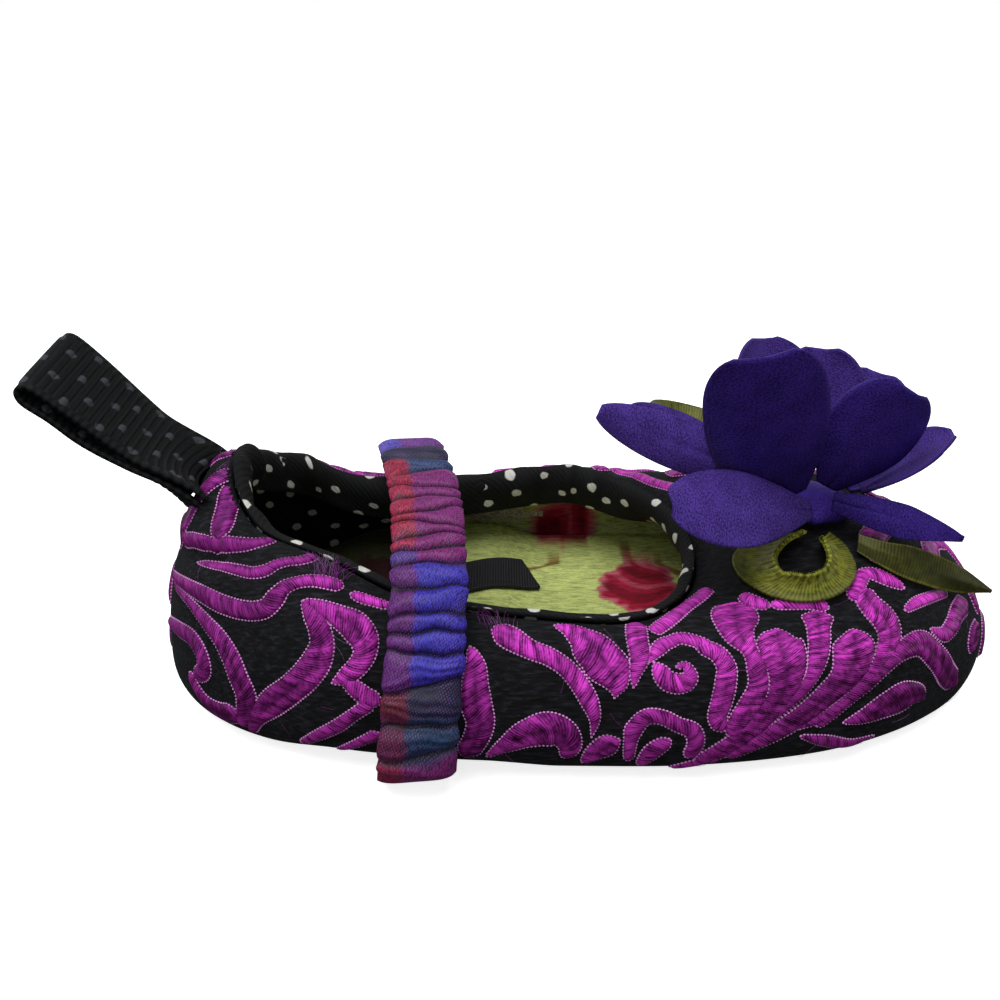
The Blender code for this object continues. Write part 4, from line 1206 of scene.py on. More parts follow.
def make_upper(sizes, colours):
    grid = upper_grid(sizes.crease_share)
    # The lining's flannel: the insole's colour darkened to 0.8 as painted shade inside the wall, with roses
    # printed
    dye_and_shading = np.ones(grid.shape) * np.array(colours.insole)[:3] * 0.8
    rose_dye(grid[..., 0], grid[..., 1] + np.sign(grid[..., 1]) * np.maximum(grid[..., 2] - 6.0, 0.0), dye_and_shading, 0.2)
    ground = wool_satin(tuple(colours.ground))
    flat = flat_cloth(grid, ring=True, tube=True)
    upper = grid_piece("brocade_upper", grid, ground, ring=True, tube=True, cloth=flat, dye_and_shading=dye_and_shading)
    upper.data.materials.append(shared("printed flannel", brushed_flannel))
    upper.data.materials.append(cream_lining())
    upper.data.materials.append(shared("dotted cotton", dotted_cotton))
    station, column = np.meshgrid(np.arange(len(grid)), np.arange(grid.shape[1]), indexing="ij")
    around, column = station.ravel() * GIRTH / len(grid), column.ravel()
    lined = (column > CLIMB_STEPS).astype(np.int32)
    sliver = 1 - (2 * (GIRTH - around - sum(CREAM_AROUND) / 2) / (CREAM_AROUND[1] - CREAM_AROUND[0])) ** 2
    bare = np.abs(column - CLIMB_STEPS - 16) < 1.4 * sliver
    heel = (lined == 1) & (grid[..., 0].ravel() < HEEL_LINING_AND_SHADE_TO)
    upper.data.polygons.foreach_set("material_index", np.where(heel, 3, lined + bare).astype(np.int32))
    settle(upper, "brocade", "upper")


def scroll_strip(places, sizes):
    """One scroll as a domed strip on the creased wall: its points, which of them are kept, the flat cloth,
    the painted light and shade of the thread, and the two edges for the couching."""
    values = np.array(places, float)
    knot = np.concatenate([[0.0], np.cumsum(np.hypot(*np.diff(values[:, :2], axis=0).T))])
    count = max(7, int(knot[-1] / SCROLL_STEP) + 1)
    at = np.linspace(0, knot[-1], count)
    line = hermite(knot, values, np.gradient(values, knot, axis=0), at)
    ends = np.minimum(at, knot[-1] - at) / np.maximum(line[:, 2] / 2, 0.1)
    width = SCROLL_FULL * np.maximum(line[:, 2], 0.15) * np.sqrt(np.clip(ends, 0.05, 1.0))
    middle, normal, per_around, per_climb, _ = upper_surface(line[:, 0], line[:, 1], sizes.crease_share)
    across = np.cross(normal, unit(np.gradient(middle, axis=0)))
    aa = np.sum(per_around * per_around, axis=1)
    ab = np.sum(per_around * per_climb, axis=1)
    bb = np.sum(per_climb * per_climb, axis=1)
    on_around, on_climb = np.sum(per_around * across, axis=1), np.sum(per_climb * across, axis=1)
    spread = np.stack([bb * on_around - ab * on_climb, aa * on_climb - ab * on_around], axis=-1)
    spread /= (aa * bb - ab**2)[:, None]
    off = SCROLL_SECTION * width[:, None] / 2
    around = line[:, :1] + spread[:, :1] * off
    climb = line[:, 1:2] + spread[:, 1:] * off
    surface, out, _, _, top = upper_surface(around.ravel(), climb.ravel(), sizes.crease_share)
    surface, out, top = surface.reshape(count, -1, 3), out.reshape(count, -1, 3), top.reshape(count, -1)
    proud = sizes.scroll_proud / MM * smoothstep(0.0, 1.6, width)[:, None]
    veined = smoothstep(VEIN_FROM_WIDTH, VEIN_FROM_WIDTH + 0.7, width)[:, None]
    vein = veined * np.exp(-((SCROLL_SECTION / 0.24) ** 2))
    dome = np.sqrt(1 - SCROLL_SECTION**2) * (1 - 0.45 * vein)
    height = proud * dome - SCROLL_SINK * (np.abs(SCROLL_SECTION) == 1)
    points = surface + out * height[..., None]
    # Painted highlight: slow swells along the scroll where the satin stitch would turn to the light
    splits = 0.5 + 0.5 * np.sin(at / 1.9 + 1.3 * np.sin(at / 3.7 + line[0, 0]))
    slanted = at[:, None] + 0.75 * off + 0.35 * np.sin(at[:, None] * 1.9)
    wide = smoothstep(1.5, 2.4, width)[:, None]
    slanted = (slanted + line[0, 1]) / SPLIT_PITCH
    split = wide * np.exp(-(((np.mod(slanted, 1.0) - 0.5) / 0.16) ** 2))
    # Painted highlight and painted shade in slanted steps across the wide scrolls
    step = 1 + wide * 0.3 * np.sin(2.4 * np.floor(slanted + 0.5) + line[0, 0])
    # Painted shade: darker at the heel, low at the toe and low on the wall
    from_heel = GIRTH / 2 - np.abs(np.mod(around, GIRTH) - GIRTH / 2)
    heel_shade = HEEL_SHADE * (1 - smoothstep(30.0, 50.0, from_heel))
    toe_shade = TOE_SHADE * smoothstep(86.0, 98.0, from_heel) * (1 - smoothstep(14.0, 21.0, climb))
    low_shade = LOW_SHADE * (1 - smoothstep(8.0, 18.0, climb))
    shadow = np.maximum(np.maximum(heel_shade, toe_shade), low_shade)
    # Painted light and shade of the thread, with a painted lighter crown; darker along the vein and splits
    bright = (1 - shadow) * step * (0.7 + 0.3 * splits[:, None]) * (0.5 + 0.5 * dome / dome.max())
    bright = bright * (1 - 0.5 * vein) * (1 - 0.75 * split)
    flat = np.stack([off + 7 * line[0, 0], np.broadcast_to(at[:, None], off.shape)], axis=-1)
    kept = (climb > LOWEST_CLIMB) & (climb < top - 0.35)
    edges = surface[:, [0, -1]] + out[:, [0, -1]] * 0.06
    return points, kept, flat, bright, edges


def scroll_lines():
    """Every scroll of both sides: the far side is the near one's mirror."""
    near = [scroll.places for scroll in SCROLLS + HIDDEN_SCROLLS]
    far = [[(GIRTH - around, climb, width) for around, climb, width in places] for places in near]
    return near + far + [scroll.places for scroll in MIDDLE_SCROLLS]


def tree_on_lines(name, sizes):
    """A node tree that takes lines of edges as a curve, with named sizes and a finish as its inputs."""
    tree = bpy.data.node_groups.new(name, "GeometryNodeTree")
    tree.interface.new_socket("Lines", in_out="INPUT", socket_type="NodeSocketGeometry")
    kinds = [(size, "NodeSocketFloat") for size in sizes] + [("Finish", "NodeSocketMaterial")]
    inputs = []
    for key, kind in kinds:
        inputs.append(tree.interface.new_socket(key, in_out="INPUT", socket_type=kind).identifier)
    tree.interface.new_socket("Made", in_out="OUTPUT", socket_type="NodeSocketGeometry")
    given = add(tree, "NodeGroupInput")
    path = add(tree, "GeometryNodeMeshToCurve", {"Mesh": given.outputs["Lines"]})
    return tree, given, path, inputs


def finish_tree(tree, given, last):
    """Ends a node tree: its instances are made real, and wear the finish."""
    real = add(tree, "GeometryNodeRealizeInstances", {"Geometry": last.outputs[0]})
    dressed = add(tree, "GeometryNodeSetMaterial", {
        "Geometry": real.outputs[0], "Material": given.outputs["Finish"],
    })
    add(tree, "NodeGroupOutput", {"Made": dressed.outputs[0]})


def couching_tree():
    """Stitches strung along the edges of the scrolls."""
    tree, given, path, inputs = tree_on_lines("couching stitches", ("Pitch", "Radius"))
    spaced = {"Curve": path.outputs[0], "Length": given.outputs["Pitch"]}
    spots = add(tree, "GeometryNodeCurveToPoints", spaced, mode="LENGTH")
    stitch = add(tree, "GeometryNodeMeshUVSphere", {
        "Segments": 4, "Rings": 2, "Radius": given.outputs["Radius"],
    })
    strung = add(tree, "GeometryNodeInstanceOnPoints", {
        "Points": spots.outputs["Points"], "Instance": stitch.outputs["Mesh"],
        "Rotation": spots.outputs["Rotation"], "Scale": (1.0, 1.0, 1.35),
    })
    finish_tree(tree, given, strung)
    return tree, inputs


def made_by_nodes(piece, tree, values):
    """Runs a node tree on a piece, and keeps the result as its plain mesh."""
    nodes = piece.modifiers.new(tree.name, "NODES")
    nodes.node_group = tree
    for identifier, value in values.items():
        nodes[identifier] = value
    graph = bpy.context.evaluated_depsgraph_get()
    made = bpy.data.meshes.new_from_object(piece.evaluated_get(graph))
    piece.modifiers.remove(nodes)
    piece.data = made
    return piece


def make_scrolls(sizes, colours):
    points, faces, flats, brights, edge_points, edges = [], [], [], [], [], []
    start = edge_start = 0
    for places in scroll_lines():
        strip, kept, flat, bright, sides = scroll_strip(places, sizes)
        rows, columns = strip.shape[:2]
        row, column = grid_corners(rows, columns)
        whole = kept[row, column].all(axis=1)
        row, column = row[whole], column[whole]
        points.append(strip.reshape(-1, 3))
        faces.append(start + row * columns + column)
        flats.append(flat[row, column])
        brights.append(bright.ravel())
        start += rows * columns
        edge_points.append(sides.reshape(-1, 3))
        for side, place in ((0, 0), (1, columns - 1)):
            shown = kept[:-1, place] & kept[1:, place]
            edges += [(edge_start + 2 * r + side, edge_start + 2 * r + 2 + side) for r in np.flatnonzero(shown)]
        edge_start += 2 * rows
    # The scroll colour times each point's painted light and shade
    dye_and_shading = np.concatenate(brights)[:, None] * np.array(colours.scroll)[:3]
    points, faces, flats = np.concatenate(points), np.concatenate(faces), np.concatenate(flats)
    scrolls = new_piece("brocade_scrolls", points, faces, satin_stitch(), flats, dye_and_shading)
    loose = bmesh.new()
    loose.from_mesh(scrolls.data)
    bmesh.ops.delete(loose, geom=[spot for spot in loose.verts if not spot.link_faces], context="VERTS")
    loose.to_mesh(scrolls.data)
    loose.free()
    settle(scrolls, "brocade")
    couching = new_piece("couching", np.concatenate(edge_points), np.zeros((0, 4), int), None, edges=edges)
    tree, (pitch, radius, finish) = couching_tree()
    thread = couching_thread(tuple(colours.couching))
    made_by_nodes(couching, tree, {pitch: sizes.couching_pitch, radius: sizes.couching_radius, finish: thread})
    settle(couching, "brocade")


def make_facing(sizes, colours):
    """The cotton rolled over the collar edge, gathered a little along it."""
    turn = turn_of(np.linspace(0, GIRTH, FACING_STATIONS, endpoint=False))
    edge = collar_edge(turn)
    near = (smoothstep(0.35, 0.9, turn) * (1 - smoothstep(1.9, 2.6, turn)))[:, None]
    edge[:, 2:] -= near * (0.3 + 0.45 * (1 - smoothstep(0.9, 1.3, turn[:, None])))
    onward = unit(np.roll(edge, -1, axis=0)[:, :2] - np.roll(edge, 1, axis=0)[:, :2])
    way_in = np.column_stack([-onward[:, 1], onward[:, 0]])
    from_heel = np.degrees(turned_from_heel(turn))[:, None]
    throat = smoothstep(THROAT_FROM_DEG, THROAT_FULL_DEG, from_heel)
    side = open_spline(np.array([fold[:2] for fold in FACING]), FACING_COLUMNS)
    front = open_spline(np.array([fold[2:] for fold in FACING]), FACING_COLUMNS)
    path = side + (front - side) * throat[..., None]
    onward_path = unit(np.gradient(path, axis=1))
    face = np.stack([-onward_path[..., 1], onward_path[..., 0]], axis=-1)
    travel = np.concatenate([[0.0], np.cumsum(np.linalg.norm(np.diff(edge, axis=0, append=edge[:1]), axis=1))])
    step = np.linspace(0, 1, FACING_COLUMNS)
    here = travel[:-1, None]
    heel = 1 - smoothstep(40.0, 75.0, from_heel)
    fine = 0.1 * np.sin(here / 0.86 + 1.4 * np.sin(here / 5.1) + 0.8 * step)
    broad = 0.2 * np.sin(here / 1.9 + 1.6 * np.sin(here / 7.7))
    lump = 0.5 * np.sin(here / 2.4 + 1.3 * np.sin(here / 6.3))
    lump = lump + 0.35 * np.sin(here / 1.2 + 2.0 * np.sin(here / 4.4))
    lump = lump * smoothstep(3.4, 4.0, turn)[:, None]
    gather = ((fine + broad) * (0.6 + 0.9 * heel) + lump) * (1 - 0.5 * near)
    gather = gather * np.sin(math.pi * np.clip(step + 0.08, 0, 1))
    half = FACING_THICK / 2 * (1 - 0.3 * near)
    outer = path + face * (half + gather)[..., None]
    inner = path - face * half[..., None]
    section = np.concatenate([outer, inner[:, ::-1]], axis=1)
    plan = edge[:, None, :2] + way_in[:, None] * section[..., :1]
    points = np.concatenate([plan, edge[:, None, 2:] + section[..., 1:]], axis=-1)
    length = np.linalg.norm(np.diff(side, axis=0), axis=1).cumsum()
    over = np.concatenate([[0.0], length])
    wide = np.concatenate([over, length[-1] + 1.0 + over, [2 * length[-1] + 2.0]])
    flat = np.stack(np.meshgrid(wide, travel), axis=-1)
    cotton = shared("dotted cotton", dotted_cotton)
    facing = grid_piece("collar_cotton", points, cotton, ring=True, tube=True, cloth=flat)
    settle(facing, "cotton", "collar_facing")


def pad_grid(section, fill, crown):
    """A closed pad with the shoe's outline: each row goes round the near edge, over to the far one and back."""
    turn = turn_of(np.linspace(0, GIRTH, PAD_STATIONS, endpoint=False))
    edge, way_in = outline(turn), inward(turn)
    rings = []
    for row in open_spline(np.array(section), 2 * (len(section) - 1) + 1):
        plan = edge + way_in * row[0]
        rings.append(np.column_stack([plan, row[1] + lift(plan[:, 0])]))
    rings = np.array(rings).swapaxes(0, 1)
    half = PAD_STATIONS // 2
    near = rings[: half + 1]
    far = rings[[-place % PAD_STATIONS for place in range(half + 1)]]
    share = np.linspace(0, 1, fill + 2)[1:-1, None]
    over = near[:, None, -1] + (far - near)[:, None, -1] * share
    apart = np.linalg.norm(far - near, axis=2)[:, -1:]
    over[..., 2] += crown * np.sin(math.pi * share[:, 0]) * smoothstep(0.0, 14.0, apart)
    under_share = np.linspace(1, 0, 11)[1:-1, None]
    under = near[:, None, 0] + (far - near)[:, None, 0] * under_share
    return np.concatenate([near, over, far[:, ::-1], under], axis=1)


def rose_dye(along, across, dye_and_shading, soft=0.05):
    """Prints the roses, their leaves and the stems on the insole's colour."""
    for stem in STEMS:
        reach = np.array([stem.to_along - stem.along, stem.to_across - stem.across])
        start = np.stack([along - stem.along, across - stem.across], axis=-1)
        share = np.clip(start @ reach / (reach @ reach), 0, 1)
        off = np.linalg.norm(start - share[..., None] * reach, axis=-1) + 0.5 * np.sin(share * 3.1)
        print_on(dye_and_shading, 1 - smoothstep(stem.half, stem.half + 0.5, off), "#8A6A3C")
    for rose in ROSES:
        x, y = along - rose.along, across - rose.across
        cosine, sine = math.cos(rose.turn), math.sin(rose.turn)
        x, y = (x * cosine + y * sine) / rose.half, (y * cosine - x * sine) / rose.half
        turn = np.arctan2(y, x)
        rim = 1 + 0.07 * np.sin(3 * turn + 1.0) + 0.05 * np.sin(7 * turn + rose.along)
        rim = rim + 0.03 * np.sin(16 * turn)
        out = np.hypot(x, 0.83 * y) / rim
        inside = 1 - smoothstep(0.97 - soft, 0.97 + soft, out)
        ray = np.arctan2(y, x + 1.3)
        petal = np.sin(8.0 * ray + 1.6 * np.sin(3.1 * x + rose.along))
        streak = np.sin(31.0 * ray + 1.3 * np.sin(7.0 * x)) * (soft < 0.1)
        print_on(dye_and_shading, inside, "#A81C38")
        print_on(dye_and_shading, 0.75 * inside * smoothstep(0.25, 0.85, petal), "#6E0C20")
        print_on(dye_and_shading, 0.45 * inside * smoothstep(0.2, 0.9, streak), "#7A1028")
        print_on(dye_and_shading, 0.5 * inside * smoothstep(-0.55, -0.95, petal), "#D8607A")
        print_on(dye_and_shading, 0.7 * inside * smoothstep(0.76, 0.97, out + 0.08 * streak), "#D8788A")


def print_on(dye_and_shading, share, code):
    dye_and_shading += (np.array(rgb(code)[:3]) - dye_and_shading) * share[..., None]


def make_soles(sizes, colours):
    outsole = weld(grid_piece("suede_outsole", pad_grid(OUTSOLE, 31, 0.0), black_suede(), tube=True))
    settle(outsole, "suede", "outsole")
    grid = pad_grid(INSOLE, 150, 0.25)
    along, across = grid[..., 0], grid[..., 1]
    dye_and_shading = np.ones(grid.shape) * np.array(colours.insole)[:3]
    dye_and_shading *= (0.93 + 0.07 * np.sin(along / 3.3 + np.sin(across / 4.0)) * np.sin(across / 2.7 + 0.4))[..., None]
    rose_dye(along, across, dye_and_shading)
    # Painted shade: the insole goes almost black towards the heel, inside the heel's walls
    dye_and_shading *= (0.04 + 0.96 * smoothstep(HEEL_LINING_AND_SHADE_TO - 5.0, HEEL_LINING_AND_SHADE_TO - 1.0, along))[..., None]
    flannel = shared("printed flannel", brushed_flannel)
    insole = weld(grid_piece("flannel_insole", grid, flannel, tube=True, dye_and_shading=dye_and_shading))
    settle(insole, "flannel", "insole")


def make_tab(sizes, colours):
    """A blank tape, laid askew on the insole with its edges a little raised."""
    long, wide = np.meshgrid(np.linspace(-0.5, 0.5, 40), np.linspace(-0.5, 0.5, 24), indexing="ij")
    turn = math.radians(TAB_TURN_DEG)
    along = TAB_MIDDLE[0] + long * TAB_LONG * math.cos(turn) - wide * TAB_WIDE * math.sin(turn)
    across = TAB_MIDDLE[1] + long * TAB_LONG * math.sin(turn) + wide * TAB_WIDE * math.cos(turn)
    edge = 2 * np.maximum(np.abs(long), np.abs(wide))
    up = TAB_UP + lift(along) + 0.1 * smoothstep(0.8, 1.0, edge) + 0.05 * np.sin(14 * long) * np.sin(8 * wide)
    tab = thicken(grid_piece("blank_tab", np.stack([along, across, up], axis=-1), woven_tape()), TAB_THICK)
    settle(tab, "woven", "insole_tab")


def band_dye(at, sideways):
    """The plaid round the band: one colour left of its line and one right of it."""
    places = [dye_and_shading.at for dye_and_shading in BAND_DYES]
    sides = []
    for codes in zip(*[dye_and_shading[1:] for dye_and_shading in BAND_DYES]):
        parts = np.array([rgb(code)[:3] for code in codes]).T
        sides.append(np.stack([np.interp(at, places, part) for part in parts], axis=-1))
    left, right = sides
    share = smoothstep(-0.05, 0.05, sideways - PLAID_LINE + 0.025 * np.sin(at * 1.7))[..., None]
    return left + (right - left) * share


def make_band(sizes, colours):
    """The gathered casing: uneven folds run across it, and lie flat where the band passes under the shoe."""
    turns = np.array(BAND)
    chords = np.linalg.norm(np.roll(turns, -1, axis=0) - turns, axis=1)
    ring = chords.sum()
    at = np.linspace(0, ring, BAND_ROWS, endpoint=False)
    path = closed_spline(np.concatenate([[0.0], np.cumsum(chords[:-1])]), turns, at, ring)
    onward = unit(np.roll(path, -1, axis=0) - np.roll(path, 1, axis=0))
    sideways = unit(np.array([1.0, -BAND_SLANT, 0.0]))
    out = unit(np.cross(sideways, onward))
    place = np.linspace(0.5, -0.5, BAND_COLUMNS)
    turn = 2 * math.pi * at[:, None] / ring
    tilt = 1.3 * np.sin(19 * turn + 0.6) + 0.7 * np.sin(33 * turn)
    warped = at[:, None] + tilt * place + 0.22 * np.sin(5.5 * place + 23 * turn)
    warped = warped + 0.12 * np.sin(12 * place - 14 * turn + 1.0)
    valleys = np.concatenate([BAND_VALLEYS[-2:] - ring, BAND_VALLEYS, BAND_VALLEYS[:2] + ring])
    span = np.clip(np.searchsorted(valleys, warped) - 1, 0, len(valleys) - 2)
    gap = valleys[span + 1] - valleys[span]
    share = np.clip((warped - valleys[span]) / gap, 0, 1)
    fold = np.sin(math.pi * share) ** 0.5 * np.clip(0.45 + gap / 6.0, 0.65, 1.0)
    crimp = 0.06 * np.sin(2 * math.pi * warped / 1.15 + 5 * place) * smoothstep(2.6, 4.0, gap)
    free = smoothstep(2.6, 5.4, path[:, 2:])
    gathered = BAND_LOW + sizes.gather_height / MM * (fold + crimp)
    edge = np.abs(2 * place) ** 6
    height = (BAND_FLAT + (gathered - BAND_FLAT) * free) * (1 - 0.62 * edge)
    spread = place * BAND_WIDTH + 0.6 * (fold - 0.65) * free * np.sign(place) * np.abs(2 * place) ** 3
    outside = path[:, None] + sideways * spread[..., None] + out[:, None] * height[..., None]
    under_place = np.linspace(-0.49, 0.49, 9)
    under_deep = -BAND_IN * (1 - 0.5 * np.abs(2 * under_place) ** 6)
    under = path[:, None] + sideways * (under_place * BAND_WIDTH)[:, None] + out[:, None] * under_deep[:, None]
    points = np.concatenate([outside, under], axis=1)
    shape = points.shape[:2]
    round_ring = np.concatenate([np.mod(warped, ring), np.broadcast_to(at[:, None], under.shape[:2])], axis=1)
    dye_and_shading = band_dye(round_ring, np.broadcast_to(np.concatenate([place, under_place]), shape))
    # Painted shade: the plaid is darkened in the valleys of the gathers, and to half on the underside
    fold_valley_shade = 0.06 + 0.94 * smoothstep(0.15, 0.8, fold + (1 - free))
    dye_and_shading = dye_and_shading * np.concatenate([fold_valley_shade, np.full(under.shape[:2], 0.5)], axis=1)[..., None]
    wide = np.linspace(0, 2 * BAND_WIDTH, shape[1] + 1)
    flat = np.stack(np.meshgrid(wide, np.linspace(0, ring * 1.5, BAND_ROWS + 1)), axis=-1)
    band = grid_piece("gathered_band", points, shot_taffeta(), ring=True, tube=True, cloth=flat, dye_and_shading=dye_and_shading)
    settle(band, "taffeta", "elastic_band")


def ribbon_grid(laps, width, rows, columns, taper=None):
    """A ribbon that follows its laps, with its width turned as each lap says, and the way out of its face."""
    middle = open_spline(np.array([lap[:3] for lap in laps]), rows)
    wide = unit(open_spline(np.array([lap[3:] for lap in laps]), rows))
    share = np.ones((rows, 1)) if taper is None else open_spline(np.array(taper)[:, None], rows)
    place = np.linspace(-1, 1, columns)
    points = middle[:, None] + (wide * share * width / 2)[:, None] * place[:, None]
    face = unit(np.cross(unit(np.gradient(middle, axis=0)), wide))
    travel = np.concatenate([[0.0], np.cumsum(np.linalg.norm(np.diff(middle, axis=0), axis=1))])
    flat = np.stack(np.meshgrid(place * width / 2, travel), axis=-1)
    return points, face[:, None], flat


def make_pull_loop(sizes, colours):
    """The ribbed ribbon, with a plain selvedge along each edge."""
    points, face, flat = ribbon_grid(PULL_LOOP, PULL_WIDTH, PULL_ROWS, PULL_COLUMNS)
    inside = 1 - smoothstep(PULL_WIDTH / 2 - SELVEDGE - 0.2, PULL_WIDTH / 2 - SELVEDGE, np.abs(flat[..., 0]))
    rib = np.sin(2 * math.pi * flat[..., 1] / RIB_PITCH) * inside * sizes.rib_height / MM
    curl = 0.12 * (flat[..., 0] / PULL_WIDTH * 2) ** 4 * np.sin(flat[..., 1] / 6.0)
    root = 1 - smoothstep(1.0, 9.0, np.minimum(flat[..., 1], flat[-1, 0, 1] - flat[..., 1]))
    points[..., 0] += ROOT_CURL * root * (flat[..., 0] / PULL_WIDTH * 2) ** 2
    pinch = (1 - smoothstep(5.0, 17.0, flat[..., 1])) * (flat[..., 0] / PULL_WIDTH * 2) ** 2
    points[..., [0, 2]] += ROOT_PINCH * pinch[..., None]
    points = points + face * (rib + curl)[..., None]
    pull = thicken(grid_piece("ribbon_pull_loop", points, black_grosgrain(), cloth=flat), PULL_THICK)
    settle(pull, "grosgrain", "pull_loop")


def make_ribbons(sizes, colours):
    """The lime loops under the flower, pleated along their sewn edge, and the folded leaf."""
    lime = np.array(colours.lime)[:3]
    taffeta = lime_taffeta()
    deep = sizes.pleat_depth / MM
    for name, node, laps, taper in (
        ("lime_loop_near", "ribbon_loop_near", LOOP_NEAR, LOOP_TAPER),
        ("lime_loop_far", "ribbon_loop_far", LOOP_FAR, [1.0] * len(LOOP_FAR)),
    ):
        points, face, flat = ribbon_grid(laps, LIME_WIDTH, LIME_ROWS, LIME_COLUMNS, taper)
        place = flat[..., 0] / (LIME_WIDTH / 2)
        sewn = (0.5 - 0.5 * place) ** 4
        pleat = np.sin(2 * math.pi * flat[..., 1] / 0.62 + 1.2 * np.sin(flat[..., 1] / 2.9)) * sewn
        slow = 0.16 * np.sin(flat[..., 1] / 4.1) * (1 - sewn) + 0.6 * (1 - place**2)
        # Painted shade towards the free edge and in the pleats' valleys, and a painted highlight along the sewn
        # edge
        rim = smoothstep(-0.78, -0.94, place)
        light = 0.5 + 0.5 * smoothstep(1.0, 0.1, place) - 0.3 * sewn * smoothstep(0.1, -0.6, pleat)
        dye_and_shading = lime * (light * (1 + 0.9 * rim))[..., None]
        points = points + face * (deep * pleat + slow)[..., None]
        loop = thicken(grid_piece(name, points, taffeta, cloth=flat, dye_and_shading=dye_and_shading), LIME_THICK)
        settle(loop, "lime", node)
    points, face, flat = ribbon_grid(LEAF, LEAF_WIDTH, LEAF_ROWS, LIME_COLUMNS, LEAF_TAPER)
    place = flat[..., 0] / (LEAF_WIDTH / 2)
    taper = np.interp(np.linspace(0, 1, LEAF_ROWS), np.linspace(0, 1, len(LEAF_TAPER)), LEAF_TAPER)[:, None]
    fold = (0.45 * (1 - np.abs(place)) + 0.12 * np.sin(flat[..., 1] / 1.7) * place) * taper
    # Painted shade: the leaf is the lime darkened to a small share, with paler edges
    rims = 0.7 * smoothstep(-0.8, -0.96, place) + 0.4 * smoothstep(0.86, 0.98, place)
    dye_and_shading = lime * (0.15 + 0.05 * np.sin(3 * place + flat[..., 1] / 2.3) + rims)[..., None]
    points = points + face * fold[..., None]
    leaf = thicken(grid_piece("lime_leaf", points, taffeta, cloth=flat, dye_and_shading=dye_and_shading), LIME_THICK)
    settle(leaf, "lime", "ribbon_leaf")


def petal_grid(petal, seed):
    """A petal from root to tip, bent along its length, cupped across it and a little wavy at its edge."""
    axis = direction(petal.lean_deg, petal.rise_deg)
    look = direction(petal.face_deg, 0) + np.array([0.0, 0.0, petal.face_up])
    outer = unit(look - axis * look.dot(axis))
    side = np.cross(outer, axis)
    reach = np.linspace(0, 1, PETAL_ROWS)
    bend = np.radians(petal.bend_deg) * (reach - 0.3)[:, None]
    moves = (axis * np.cos(bend) - outer * np.sin(bend)) * petal.length / (PETAL_ROWS - 1)
    middle = np.concatenate([np.zeros((1, 3)), np.cumsum(moves[:-1], axis=0)])
    middle = middle + [petal.along, petal.across, petal.up]
    half = (petal.width / 2 * blade_share(reach, petal.tip, petal.root))[:, None]
    spread = np.linspace(-1, 1, PETAL_COLUMNS)
    wave = 0.28 * np.sin(5.1 * reach[:, None] + 2.2 * spread + seed) * reach[:, None]
    wave = wave * (0.3 + 0.7 * np.abs(spread))
    pinch = 0.35 * np.exp(-((spread / 0.16) ** 2)) * (1 - reach[:, None]) ** 1.5
    rise = wave - pinch - petal.cup * spread**2 * half * 2 / petal.width
    points = middle[:, None] + side * (spread * half)[..., None] + outer * rise[..., None]
    length = np.broadcast_to(reach[:, None] * petal.length, (PETAL_ROWS, PETAL_COLUMNS))
    flat = np.stack([spread * half, length], axis=-1)
    return points, flat


def make_flower(sizes, colours):
    """The petals, each with a bright face and a duller back that is darker as painted shade,
    round the knot that they are sewn to.
    """
    bright, dull_and_shaded = np.array(colours.satin)[:3], np.array(colours.shaded_satin_back)[:3]
    satin = indigo_satin()
    for seed, petal in enumerate(PETALS):
        points, flat = petal_grid(petal, 1.7 * seed)
        out = unit(np.cross(np.gradient(points, axis=0), np.gradient(points, axis=1))) * PETAL_THICK / 2
        sides = np.concatenate([points + out, (points - out)[:, ::-1]], axis=1)
        cloth = np.concatenate([flat, flat[:, ::-1] + [40.0, 0.0], flat[:, :1]], axis=1)
        # Painted shade: each petal is darker towards its root, by the knot and under the others
        shown = smoothstep(0.02, 0.5, cloth[:, :-1, 1:] / petal.length)
        front = np.where(np.arange(sides.shape[1])[:, None] < PETAL_COLUMNS, not petal.back, petal.back)
        dye_and_shading = (dull_and_shaded + (bright - dull_and_shaded) * front) * (0.55 + 0.45 * shown)
        spread = np.concatenate([np.linspace(-1, 1, PETAL_COLUMNS)] * 2)
        # Painted highlight: each petal is lighter along its edges
        rim = smoothstep(0.93, 1.0, np.abs(spread))[:, None] * shown
        dye_and_shading = dye_and_shading + (bright - dye_and_shading) * 0.5 * rim
        piece = grid_piece("satin_" + petal.name, sides, satin, tube=True, cloth=cloth, dye_and_shading=dye_and_shading)
        close_ends(piece)
        settle(piece, "satin", petal.name)
    turn = np.linspace(0, 2 * math.pi, CORE_STATIONS, endpoint=False)
    turn, fall = np.meshgrid(turn, np.linspace(0, math.pi, CORE_ROWS), indexing="ij")
    tuck = 1 - 0.12 * (0.5 + 0.5 * np.sin(9 * turn + 1.5 * np.sin(3 * turn))) * np.sin(fall)
    reach = CORE_RADIUS * np.sin(fall) * tuck
    points = np.stack([
        CORE_ALONG + reach * np.cos(turn),
        CORE_ACROSS + reach * np.sin(turn),
        CORE_UP + CORE_HEIGHT / 2 * (1 - np.cos(fall)),
    ], axis=-1)
    flat = np.stack(np.meshgrid(np.linspace(0, 8, CORE_ROWS), np.linspace(0, 26, CORE_STATIONS + 1)), axis=-1)
    # The knot wears the petals' darker back colour, painted shade under the petals
    dye_and_shading = np.ones(points.shape) * dull_and_shaded
    core = weld(grid_piece("satin_core", points[:, ::-1], satin, ring=True, cloth=flat, dye_and_shading=dye_and_shading))
    settle(core, "satin", "flower_core")


